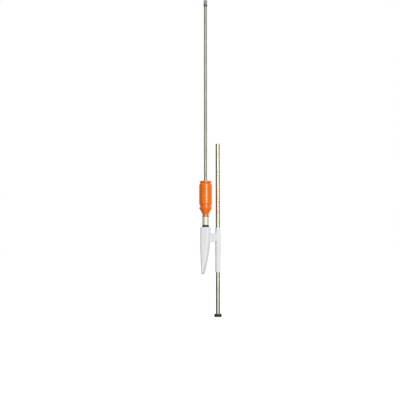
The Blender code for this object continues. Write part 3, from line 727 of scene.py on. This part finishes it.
class SPLITTER_OT_wedge(bpy.types.Operator):
    """Build the splitting wedge with its bore and pin hole, and the cross pin"""

    bl_idname = "splitter.wedge"
    bl_label = "Splitting Wedge"
    bl_options = {"REGISTER", "UNDO"}

    def execute(self, context):
        place, rod, pin = Place("splitting_wedge"), Place("striking_rod"), Place("rod_cross_pin")
        tint = colours()
        paint = coating("wedge_coating", tint.coating, tint.bare_steel, place.bottom)
        chamfer, lip = 1.6 * MM, 1.2 * MM
        high = place.top - place.bottom
        edge_round = sizes().wedge_edge * EDGE_ROUND_SHARE
        quarter = np.linspace(0, math.pi / 2, ROUND_ROWS + 1)
        rows = [
            (wedge_outline(1.0, place, edge_round * (1 - math.sin(turn))),
             place.bottom + edge_round * (1 - math.cos(turn)))
            for turn in quarter[:-1]
        ]
        rows += [
            (wedge_outline(down, place), max(place.top - down * high, place.bottom + edge_round))
            for down in np.linspace(1.0, chamfer / high, WEDGE_ROWS)
        ]
        rows += [
            (wedge_outline(0.0, place, chamfer * (1 - math.cos(turn))),
             place.top - chamfer * (1 - math.sin(turn)))
            for turn in quarter[1:]
        ]
        top = rows[-1][0] - rod.axis
        polar = np.arctan2(top[:, 1], top[:, 0])
        circle = np.stack([np.cos(polar), np.sin(polar)], axis=1)
        bore = rod.radius + sizes().play
        for share in TOP_RINGS:
            rows.append((rod.axis + top * (1 - share) + circle * bore * share, place.top))
        rows.append((rod.axis + circle * (bore + lip), place.top))
        rows.append((rod.axis + circle * bore, place.top - lip))
        rows.append((rod.axis + circle * bore, rod.bottom))
        count = len(top)
        foot = rows[0][0].mean(axis=0)
        ends = [[*foot, place.bottom], [*rod.axis, rod.bottom]]
        rows = [np.column_stack([outline, np.full(count, z)]) for outline, z in rows]
        mesh = capped_mesh("splitting_wedge", rows, count, ends)
        wedge = stand_for("splitting_wedge", mesh, paint, SHARP_CASTING)
        self.drill(wedge, pin)
        self.pin(pin)
        return {"FINISHED"}

    def drill(self, wedge, pin):
        """Cuts the pin's hole through the wedge, and leaves no modifier behind."""
        middle = (pin.low + pin.high) / 2
        radius = (pin.high[2] - pin.low[2]) / 2 + sizes().play
        longer_than_wide = 100 * MM
        bpy.ops.mesh.primitive_cylinder_add(
            vertices=PIN_HOLE_POINTS,
            radius=radius,
            depth=longer_than_wide,
            location=middle,
            rotation=(0, math.pi / 2, 0),
        )
        cutter = bpy.context.object
        cut = wedge.modifiers.new("pin_hole", "BOOLEAN")
        cut.object = cutter
        cut.solver = "EXACT"
        wedge.modifiers.move(1, 0)
        bpy.context.view_layer.objects.active = wedge
        with bpy.context.temp_override(object=wedge, active_object=wedge):
            bpy.ops.object.modifier_apply(modifier="pin_hole")
        bpy.data.objects.remove(cutter)
        wedge.data.set_sharp_from_angle(angle=math.radians(SHARP_CASTING))

    def pin(self, pin):
        """The cross pin: a turned profile along X, so r goes to Y and Z and z goes to X."""
        middle = (pin.low + pin.high) / 2
        radius = (pin.high[2] - pin.low[2]) / 2
        half = (pin.high[0] - pin.low[0]) / 2
        corners = [(0.0, -half, 0), (radius, -half, 0.8 * MM), (radius, half, 0.8 * MM), (0.0, half, 0)]
        mesh = lathe_mesh("rod_cross_pin", soften(corners, sizes().arc_steps, False), (0.0, 0.0))
        mesh.transform(Matrix.Translation(Vector(middle)) @ Matrix.Rotation(math.pi / 2, 4, "Y"))
        black = dark_metal("pin_black_steel", colours().dark_steel, middle)
        stand_for("rod_cross_pin", mesh, black)


ARM_START = 0.6  # the plate's hidden end inside the sleeve, as a share of the sleeve's radius
ARM_END = 0.70  # its hidden end inside the wedge, as a share of the way to the striking axis
ARM_ROWS = 9
ARM_EDGE = 2.0 * MM  # radius of its long edges
WELD_RIPPLE = 3.0 * MM
FACE_SHARE = 0.97  # the plate's height where it enters the wedge, as a share of its height at its end
FACE_NEAR, FACE_FAR, FACE_STEP = 15 * MM, 75 * MM, 0.1 * MM  # where the wedge's face is looked for


class SPLITTER_OT_arm(bpy.types.Operator):
    """Build the arm between the sleeve and the wedge, and its weld beads"""

    bl_idname = "splitter.arm"
    bl_label = "Swing Arm"
    bl_options = {"REGISTER", "UNDO"}

    def execute(self, context):
        size, tint = sizes(), colours()
        arm, sleeve, rod = Place("swing_arm"), Place("guide_sleeve"), Place("striking_rod")
        wedge = Place("splitting_wedge")
        paint = coating("arm_coating", tint.coating, tint.bare_steel, wedge.bottom - WEAR_OFFSET)
        reach = rod.axis - sleeve.axis
        self.along = np.array([*(reach / np.linalg.norm(reach)), 0.0])
        self.across = np.array([-self.along[1], self.along[0], 0.0])
        self.start = np.array([*sleeve.axis, (arm.bottom + arm.top) / 2])
        outline = self.section(size.arm_thickness)
        near, far = sleeve.radius * ARM_START, np.linalg.norm(reach) * ARM_END
        rows = []
        for share in np.linspace(0, 1, ARM_ROWS):
            tall = size.arm_at_sleeve + (size.arm_at_wedge - size.arm_at_sleeve) * share
            rows.append(self.put(outline, tall, near + (far - near) * share))
        stand_for("swing_arm", capped_mesh("swing_arm", rows, len(outline)), paint)
        self.weld_at_sleeve(outline, sleeve, paint)
        self.weld_at_wedge(outline, wedge, paint)
        return {"FINISHED"}

    def section(self, thick):
        """The plate's outline as (across in metres, height as a share of its half), rounded corners."""
        side, half = thick / 2, 18.0 * MM
        corners = [(side, -half), (side, half), (-side, half), (-side, -half)]
        rounded = soften([(*corner, ARM_EDGE) for corner in corners], sizes().arc_steps)
        return evenly(rounded, ARM_EDGE) / np.array([1.0, half])

    def put(self, outline, tall, out):
        """The section at a distance out from the sleeve's axis, as tall as asked."""
        out = np.broadcast_to(out, len(outline))[:, None]
        across, height = outline[:, :1], outline[:, 1:] * tall / 2
        return self.start + self.along * out + self.across * across + UP * height

    def weld_at_sleeve(self, outline, sleeve, paint):
        """Along the line where the plate's outline meets the sleeve's cylinder: out is the root of
        the sleeve's radius squared less the distance across squared."""
        size = sizes()
        out = np.sqrt(sleeve.radius**2 - outline[:, 0] ** 2)
        self.weld("arm_weld_sleeve", outline, size.arm_at_sleeve, out, self.along, paint)

    def weld_at_wedge(self, outline, wedge, paint):
        """Along the line where the plate's outline first enters the wedge: each point steps outwards
        until it lies inside the wedge's section at its height."""
        size = sizes()
        steps = np.arange(FACE_NEAR, FACE_FAR, FACE_STEP)
        tall = size.arm_at_wedge * FACE_SHARE
        line = self.put(outline, tall, 0.0)[:, None] + self.along * steps[None, :, None]
        down = (wedge.top - line[..., 2]) / (wedge.top - wedge.bottom)
        centre = Place("striking_rod").axis
        _, right, deep = wedge_sides(down, wedge)
        radius = size.wedge_corner
        x = line[..., 0] - centre[0] - (right - radius)
        y = line[..., 1] - centre[1] - (deep - radius)
        corner = np.hypot(np.maximum(x, 0), np.maximum(y, 0)) + np.minimum(np.maximum(x, y), 0)
        inside = corner < radius
        out = steps[np.argmax(inside, axis=1)]
        self.weld("arm_weld_wedge", outline, tall, out, -self.along, paint)

    def weld(self, name, outline, tall, out, off_face, paint):
        """A bead along the section at the distances out, which faces half way between straight away
        from the plate's middle and straight off the face that it meets."""
        away = self.put(outline, tall, 0.0) - self.start
        away /= np.linalg.norm(away, axis=1)[:, None]
        path = self.put(outline, tall, out)
        mesh = bead_mesh(name, path, away + off_face, sizes().weld, WELD_RIPPLE)
        place_piece(name, mesh, paint, "splitting_head", (), SHARP_WELD)


class SPLITTER_OT_striking_rod(bpy.types.Operator):
    """Build the striking rod, the ring it stands in, and the buffer and cap at its end"""

    bl_idname = "splitter.striking_rod"
    bl_label = "Striking Rod"
    bl_options = {"REGISTER", "UNDO"}

    def execute(self, context):
        tint, play = colours(), sizes().play
        rod, ring = Place("striking_rod"), Place("strike_ring")
        buffer, cap = Place("end_buffer"), Place("end_cap")
        steel = drawn_bar("warm_drawn_bar", tint.warm_steel, rod.axis, roughness=0.46, dirt=0.45)
        spigot, shoulder = 4.0 * MM, buffer.top
        corners = [
            (0.0, rod.bottom, 0),
            (rod.radius, rod.bottom, 1.2 * MM),
            (rod.radius, shoulder, 0.4 * MM),
            (spigot, shoulder, 0.4 * MM),
            (spigot, rod.top, 0.4 * MM),
            (0.0, rod.top, 0),
        ]
        turned("striking_rod", corners, rod.axis, steel, closed=False)
        black = dark_metal("ring_black_steel", tint.dark_steel, rod.axis)
        bore = rod.radius + play
        collar = ring_profile(bore, ring.radius, ring.bottom, ring.top, 1.4 * MM, 0.5 * MM)
        turned("strike_ring", collar, rod.axis, black)
        soft = rubbery("buffer_rubber", tint.rubber, rod.axis)
        round_ring = ring_profile(bore, buffer.radius, buffer.bottom, buffer.top, 0.8 * MM, 0.3 * MM)
        turned("end_buffer", round_ring, rod.axis, soft)
        grey = moulded("cap_grey", tint.cap, rod.axis, roughness=0.42)
        dome, dome_steps = 11.0 * MM, 12
        turns = np.linspace(0, math.pi / 2, dome_steps + 1)[1:-1]
        rise = [
            (cap.radius * math.cos(turn), cap.top - dome + dome * math.sin(turn), 0) for turn in turns
        ]
        corners = [
            (0.0, rod.top + play, 0),
            (spigot + play, rod.top + play, 0.3 * MM),
            (spigot + play, cap.bottom, 0.3 * MM),
            (cap.radius, cap.bottom, 0.8 * MM),
            (cap.radius, cap.top - dome, 0),
            *rise,
            (0.0, cap.top, 0),
        ]
        turned("end_cap", corners, rod.axis, grey, closed=False)
        return {"FINISHED"}


class Hammer:
    """The radii and heights that the hammer's pieces share, each worked out from the one inside it."""

    def __init__(self):
        size = sizes()
        rod, core = Place("striking_rod"), Place("hammer_core")
        self.axis = rod.axis
        self.bush_bore = Place("hammer_bush_lower").radius + size.play
        self.bore = rod.radius + size.bore_play
        self.shank = self.bore + size.nose_wall
        self.socket = self.shank + size.play
        self.neck = self.shank + size.gap + size.neck_wall
        self.throat = self.neck + size.gap
        self.top = self.bush_bore + size.top_wall
        self.grip_bore = core.radius + size.gap
        self.grip_neck = self.grip_bore + size.grip_neck
        self.grip_top = self.grip_bore + size.grip_top
        self.cone_bottom = core.bottom + size.cone_low
        self.cone_top = core.bottom + size.cone_high


class SPLITTER_OT_hammer(bpy.types.Operator):
    """Build the hammer's nose, core, washer, bushes and wiper"""

    bl_idname = "splitter.hammer"
    bl_label = "Slide Hammer"
    bl_options = {"REGISTER", "UNDO"}

    def execute(self, context):
        tint, play = colours(), sizes().play
        hammer = Hammer()
        rod, nose, washer = Place("striking_rod"), Place("hammer_nose"), Place("nose_washer")
        wiper = Place("rod_wiper")
        bushes = {end: Place("hammer_bush_" + end) for end in ("lower", "upper")}
        step = bushes["lower"].top + play
        shoulder = washer.bottom - play
        plate = turned_metal(
            "nose_zinc_plate", tint.plated, hammer.axis, roughness=0.58, metallic=0.60
        )
        corners = [
            (hammer.bush_bore, nose.bottom, 0.4 * MM),
            (nose.radius, nose.bottom, 1.6 * MM),
            (nose.radius, shoulder, 0.7 * MM),
            (hammer.shank, shoulder, 0.3 * MM),
            (hammer.shank, nose.top, 0.6 * MM),
            (hammer.bore, nose.top, 0.4 * MM),
            (hammer.bore, step, 0.2 * MM),
            (hammer.bush_bore, step, 0.2 * MM),
        ]
        turned("hammer_nose", corners, hammer.axis, plate)
        soft = rubbery("hammer_rubber", tint.rubber, hammer.axis)
        yellow = turned_metal(
            "washer_yellow_zinc", tint.yellow, hammer.axis, roughness=0.40, metallic=0.9
        )
        ring = ring_profile(hammer.socket, washer.radius, washer.bottom, washer.top, 0.4 * MM)
        turned("nose_washer", ring, hammer.axis, yellow)
        nylon = moulded("hammer_nylon", tint.nylon, hammer.axis, roughness=0.45)
        bore = rod.radius + play
        for end, bush in bushes.items():
            ring = ring_profile(bore, bush.radius, bush.bottom, bush.top, 0.3 * MM)
            turned("hammer_bush_" + end, ring, hammer.axis, nylon)
        lip = ring_profile(bore, wiper.radius, wiper.bottom, wiper.top, 0.5 * MM)
        turned("rod_wiper", lip, hammer.axis, soft)
        self.core(hammer, nose.top, bushes["upper"].bottom)
        return {"FINISHED"}

    def core(self, hammer, nose_top, bush_bottom):
        """The turned core, which shows only at its top, inside the circlip."""
        play = sizes().play
        core, clip, shoulder = Place("hammer_core"), Place("top_circlip"), Place("top_guard").bottom
        steel = turned_metal("core_turned_steel", colours().bare_steel, hammer.axis, roughness=0.32)
        groove_depth = 0.8 * MM
        groove = hammer.top - groove_depth
        corners = [
            (hammer.socket, core.bottom, 0.2 * MM),
            (hammer.neck, core.bottom, 0.2 * MM),
            (hammer.neck, hammer.cone_bottom, 1.0 * MM),
            (core.radius, hammer.cone_top, 1.0 * MM),
            (core.radius, shoulder - play, 0.6 * MM),
            (hammer.top, shoulder - play, 0.3 * MM),
            (hammer.top, clip.bottom - play, 0),
            (groove, clip.bottom - play, 0),
            (groove, clip.top + play, 0),
            (hammer.top, clip.top + play, 0),
            (hammer.top, core.top, 0.5 * MM),
            (hammer.bush_bore, core.top, 0.4 * MM),
            (hammer.bush_bore, bush_bottom - play, 0.2 * MM),
            (hammer.bore, bush_bottom - play, 0.2 * MM),
            (hammer.bore, nose_top + play, 0.2 * MM),
            (hammer.socket, nose_top + play, 0.2 * MM),
        ]
        turned("hammer_core", corners, hammer.axis, steel)


SEAM_WIDTH = 0.02  # of the mould's parting line, in radians
QUARTER = np.linspace(0, math.pi / 2, 10)  # the angles along a rounded end of the grip
CIRCLIP_STEPS = 90


class SPLITTER_OT_grip(bpy.types.Operator):
    """Build the orange grip: lower guard, barrel and top guard, and the circlip above them"""

    bl_idname = "splitter.grip"
    bl_label = "Orange Grip"
    bl_options = {"REGISTER", "UNDO"}

    def execute(self, context):
        hammer = Hammer()
        orange = moulded("orange_moulding", colours().orange, hammer.axis, roughness=0.17)
        shader = orange.node_tree.nodes["Principled BSDF"]
        shader.inputs["Specular IOR Level"].default_value = ORANGE_GLOSS
        self.lower_guard(hammer, orange)
        self.barrel(hammer, orange)
        self.top_guard(hammer, orange)
        self.circlip(hammer.axis)
        return {"FINISHED"}

    def lower_guard(self, hammer, orange):
        """A cup: its throat fits the core's neck, its cone rises to a round rim, and a short neck above
        the rim meets the barrel."""
        place = Place("lower_guard")
        tube = hammer.throat + sizes().guard_wall
        rim = place.bottom + sizes().rim_height
        rim_width, shoulder, step = 2.6 * MM, 5.2 * MM, 0.8 * MM
        corners = [
            (hammer.throat, place.bottom, 0.3 * MM),
            (tube, place.bottom, 0.6 * MM),
            (tube, hammer.cone_bottom, 6.0 * MM),
            (place.radius, rim, 0.9 * MM),
            (place.radius, rim + rim_width, 1.4 * MM),
            (hammer.grip_neck + step, rim + shoulder, 2.0 * MM),
            (hammer.grip_neck, place.top, 0.2 * MM),
            (hammer.grip_bore, place.top, 0.2 * MM),
            (hammer.grip_bore, hammer.cone_top, 0),
            (hammer.throat, hammer.cone_bottom, 0),
        ]
        turned("lower_guard", corners, hammer.axis, orange, bulge=self.seam(tube))

    def barrel(self, hammer, orange):
        """A tube with a quarter ellipse at each end of its outer side, the upper one long."""
        place = Place("grip_barrel")
        neck, low, high = 7.0 * MM, 7.5 * MM, 16.5 * MM
        low_arc = [
            (hammer.grip_neck + (place.radius - hammer.grip_neck) * math.sin(turn),
             place.bottom + neck + low * (1 - math.cos(turn)), 0)
            for turn in QUARTER
        ]
        high_arc = [
            (hammer.grip_top + (place.radius - hammer.grip_top) * math.cos(turn),
             place.top - high * (1 - math.sin(turn)), 0)
            for turn in QUARTER
        ]
        corners = [
            (hammer.grip_bore, place.bottom, 0.2 * MM),
            (hammer.grip_neck, place.bottom, 0.4 * MM),
            *low_arc,
            *high_arc,
            (hammer.grip_bore, place.top, 0.2 * MM),
        ]
        seam = self.seam(hammer.grip_neck)
        turned("grip_barrel", corners, hammer.axis, orange, bulge=seam, step=8 * MM)

    def top_guard(self, hammer, orange):
        """A ring that sits on the core's shoulder, with a round flange above its neck."""
        place = Place("top_guard")
        bore = hammer.top + sizes().gap
        flange = place.bottom + sizes().flange_neck
        corners = [
            (bore, place.bottom, 0.2 * MM),
            (hammer.grip_top, place.bottom, 0.3 * MM),
            (hammer.grip_top, flange, 0.9 * MM),
            (place.radius, flange, 2.0 * MM),
            (place.radius, place.top, 2.4 * MM),
            (bore, place.top, 0.4 * MM),
        ]
        turned("top_guard", corners, hammer.axis, orange, bulge=self.seam(hammer.grip_top))

    def seam(self, least):
        """The mould's parting line: the radius swells by a bell curve at two opposite angles, on what
        lies outside the least radius."""
        high = sizes().seam

        def swell(r, z, angle):
            off = np.abs((angle + math.pi / 2) % math.pi - math.pi / 2)
            return np.where(r > least, high * np.exp(-((off / SEAM_WIDTH) ** 2)), 0.0)

        return swell

    def circlip(self, axis):
        """An open ring: a rounded oblong section carried round from one end to the other. Its inner side
        is a circle, and its width falls short by thin * (cos(angle) + 1) / 2, with the gap at angle 0,
        except on the lugs at its ends, where a bell curve takes that away."""
        clip = Place("top_circlip")
        black = dark_metal("circlip_black_steel", colours().dark_steel, axis)
        half, edge, thin, wide = (clip.top - clip.bottom) / 2, 0.2 * MM, 0.9 * MM, 3.4 * MM
        gap, lug = math.radians(13), 0.10
        angle = np.linspace(gap, math.tau - gap, CIRCLIP_STEPS)
        ends = sum(np.exp(-((off / lug) ** 2)) for off in (angle - gap, math.tau - gap - angle))
        narrow = thin * (np.cos(angle) + 1) / 2 * (1 - np.clip(ends, 0, 1))
        section = soften(ring_profile(0.0, wide, -half, half, edge), 2)
        reach = clip.radius - wide + section[:, 0] / wide * (wide - narrow)[:, None]
        x = axis[0] + reach * np.cos(angle)[:, None]
        y = axis[1] + reach * np.sin(angle)[:, None]
        z = np.broadcast_to((clip.bottom + clip.top) / 2 + section[:, 1], reach.shape)
        rows = list(np.stack([x, y, z], axis=-1)[::-1])
        stand_for("top_circlip", capped_mesh("top_circlip", rows, len(section)), black)


# The studio's walls, by degrees to the right of the camera's side: what gloss sees, what matt sees.
WALLS = (
    (-180, 0.80, 1.00),
    (-140, 0.55, 0.80),
    (-110, 0.06, 0.22),
    (-60, 0.06, 0.22),
    (-45, 0.40, 0.50),
    (-33, 1.10, 0.85),
    (26, 1.15, 0.95),
    (38, 0.60, 0.90),
    (52, 0.22, 0.85),
    (105, 0.26, 0.70),
    (140, 0.60, 0.95),
    (180, 0.80, 1.00),
)
CEILING = 1.30
WALL_TOP, CEILING_FOOT = 0.35, 0.85  # sines of the heights between which the walls turn into the ceiling
WALL_WARMTH = (1.0, 0.99, 0.96)
FLOOR_HALF = 40.0  # metres
FLOOR_TONE, FLOOR_ROUGHNESS, FLOOR_GLOW = 0.90, 0.9, 0.20
PANEL_LOW, PANEL_HIGH = 0.2, 2.2  # metres above the block
STRIP = (19.0, 2.2, 0.42)  # degrees to the right of the camera's side, metres away, metres wide
PANEL = (22.0, 2.4, 1.2)
STRIP_TONE = (1.0, 0.95, 0.70)
STREAK_TONE = (1.0, 0.90, 0.62)
PANEL_TONE = (1.0, 0.99, 0.97)
SENSOR = 36.0  # the camera sensor's width in mm


class SPLITTER_OT_stage(bpy.types.Operator):
    """Set up the floor, the lights and the camera"""

    bl_idname = "splitter.stage"
    bl_label = "Stage"
    bl_options = {"REGISTER", "UNDO"}

    def execute(self, context):
        self.floor()
        self.sky()
        self.lights()
        self.camera()
        bpy.context.scene.view_settings.view_transform = "Standard"
        return {"FINISHED"}

    def floor(self):
        """A plain pale floor at the height of the block's surface."""
        mesh = bpy.data.meshes.new("floor")
        turns = ((-1, -1), (1, -1), (1, 1), (-1, 1))
        corners = [(x * FLOOR_HALF, y * FLOOR_HALF, 0.0) for x, y in turns]
        mesh.from_pydata(corners, [], [(0, 1, 2, 3)])
        pale = Finish("pale_floor", (FLOOR_TONE,) * 3, FLOOR_ROUGHNESS)
        pale.use(Emission_Color=(1.0, 1.0, 1.0, 1.0), Emission_Strength=FLOOR_GLOW)
        mesh.materials.append(pale.material)
        floor = bpy.data.objects.new("floor", mesh)
        floor.visible_diffuse = False
        floor.visible_glossy = False
        bpy.context.scene.collection.objects.link(floor)

    def sky(self):
        """White to look at. Its light changes with the azimuth, as the walls of a studio do: dark to the
        left, bright in front, grey to the right, and white overhead."""
        world = bpy.data.worlds.new("studio")
        bpy.context.scene.world = world
        world.use_nodes = True
        world.node_tree.nodes.clear()
        made = Nodes(world.node_tree)
        place = made.node("ShaderNodeTexCoord").outputs["Generated"]
        mapping = made.node("ShaderNodeMapping", Vector=place)
        turn = -math.radians(bpy.context.scene.splitter_stage.azimuth)
        mapping.inputs["Rotation"].default_value = (0.0, 0.0, turn)
        split = made.node("ShaderNodeSeparateXYZ", Vector=mapping.outputs["Vector"])
        ahead = made.maths("MULTIPLY", split.outputs["Y"], -1.0)
        azimuth = made.maths("ARCTAN2", split.outputs["X"], ahead)
        round_about = made.span(azimuth, -math.pi, math.pi)
        high_up = made.span(split.outputs["Z"], WALL_TOP, CEILING_FOOT)
        path = made.node("ShaderNodeLightPath")
        gloss, matt = (
            made.mix(high_up, self.walls(made, round_about, column), (CEILING,) * 3)
            for column in (1, 2)
        )
        tone = made.mix(path.outputs["Is Diffuse Ray"], gloss, matt)
        tone = made.mix(path.outputs["Is Camera Ray"], tone, (1.0, 1.0, 1.0))
        light = made.node("ShaderNodeBackground", Color=tone)
        made.node("ShaderNodeOutputWorld", Surface=light.outputs["Background"])

    def walls(self, made, round_about, column):
        """The walls' levels as a ramp over the whole turn, a little warm."""
        ramp = made.node("ShaderNodeValToRGB", Fac=round_about)
        for _ in range(len(WALLS) - 2):
            ramp.color_ramp.elements.new(0.5)
        for element, row in zip(ramp.color_ramp.elements, WALLS):
            element.position = row[0] / 360 + 0.5
            element.color = (*(row[column] * part for part in WALL_WARMTH), 1.0)
        return ramp.outputs["Color"]

    def panel(self, name, place, power, tone):
        """An upright area light that faces the striking rod from its place: how far round from the
        camera's side it stands, how far away, and how wide it is."""
        azimuth, distance, wide = place
        aim = Vector((*Place("striking_rod").axis, (PANEL_LOW + PANEL_HIGH) / 2))
        turn = math.radians(bpy.context.scene.splitter_stage.azimuth + azimuth)
        away = Vector((math.sin(turn), -math.cos(turn), 0.0))
        light = bpy.data.lights.new(name, "AREA")
        light.shape = "RECTANGLE"
        light.size = wide
        light.size_y = PANEL_HIGH - PANEL_LOW
        light.energy = power
        light.color = tone
        lamp = bpy.data.objects.new(name, light)
        lamp.location = aim + away * distance
        lamp.rotation_euler = (-away).to_track_quat("-Z", "Y").to_euler()
        bpy.context.scene.collection.objects.link(lamp)
        return lamp

    def lights(self):
        """A strip that only gloss sees, a wide soft panel that only matt surfaces see, and a second strip
        that lights only the gloss of the three orange mouldings."""
        stage = bpy.context.scene.splitter_stage
        strip = self.panel("key_strip", STRIP, stage.key, STRIP_TONE)
        strip.visible_diffuse = False
        soft = self.panel("soft_panel", PANEL, stage.fill, PANEL_TONE)
        soft.visible_glossy = False
        streak = self.panel("grip_strip", STRIP, stage.streak, STREAK_TONE)
        streak.visible_diffuse = False
        receivers = bpy.data.collections.new("grip_strip_receivers")
        for node in ("lower_guard", "grip_barrel", "top_guard"):
            receivers.objects.link(bpy.data.objects[piece_name(node)])
        streak.light_linking.receiver_collection = receivers

    def camera(self):
        """The camera looks along the azimuth, from beside the guide rod, and a little upwards."""
        stage = bpy.context.scene.splitter_stage
        turn = math.radians(stage.azimuth)
        back = Vector((math.sin(turn), -math.cos(turn), 0.0))
        right = Vector((math.cos(turn), math.sin(turn), 0.0))
        lens = bpy.data.cameras.new("camera")
        lens.sensor_width = SENSOR
        lens.lens = stage.lens
        camera = bpy.data.objects.new("camera", lens)
        camera.location = back * stage.distance - right * stage.aside + Vector((0, 0, stage.height))
        pitch = math.radians(stage.pitch)
        look = -back * math.cos(pitch) + Vector((0, 0, math.sin(pitch)))
        camera.rotation_euler = look.to_track_quat("-Z", "Y").to_euler()
        bpy.context.scene.collection.objects.link(camera)
        bpy.context.scene.camera = camera


PIECE_OPERATORS = (
    SPLITTER_OT_guide_post,
    SPLITTER_OT_sleeve,
    SPLITTER_OT_wedge,
    SPLITTER_OT_arm,
    SPLITTER_OT_striking_rod,
    SPLITTER_OT_hammer,
    SPLITTER_OT_grip,
    SPLITTER_OT_stage,
)


class SPLITTER_PT_panel(bpy.types.Panel):
    """The splitter's operators and values, in the 3D view's sidebar"""

    bl_label = "Log Splitter"
    bl_idname = "SPLITTER_PT_panel"
    bl_space_type = "VIEW_3D"
    bl_region_type = "UI"
    bl_category = "Log Splitter"

    def draw(self, context):
        for operator in PIECE_OPERATORS:
            self.layout.operator(operator.bl_idname)
        scene = context.scene
        for group in (scene.splitter_sizes, scene.splitter_colours, scene.splitter_stage):
            box = self.layout.box()
            for key in group.__annotations__:
                box.prop(group, key)


GROUPS = {
    "splitter_sizes": SplitterSizes,
    "splitter_colours": SplitterColours,
    "splitter_stage": SplitterStage,
}


def register():
    """Adds the groups, the operators and the panel to Blender."""
    for group in (*GROUPS.values(), *PIECE_OPERATORS, SPLITTER_PT_panel):
        bpy.utils.register_class(group)
    for key, group in GROUPS.items():
        setattr(bpy.types.Scene, key, PointerProperty(type=group))


def unregister():
    """Takes them away again."""
    for key in GROUPS:
        delattr(bpy.types.Scene, key)
    for group in (SPLITTER_PT_panel, *reversed(PIECE_OPERATORS), *GROUPS.values()):
        bpy.utils.unregister_class(group)


def main():
    register()
    for operator in PIECE_OPERATORS:
        group, name = operator.bl_idname.split(".")
        getattr(getattr(bpy.ops, group), name)()


if __name__ == "__main__":
    main()
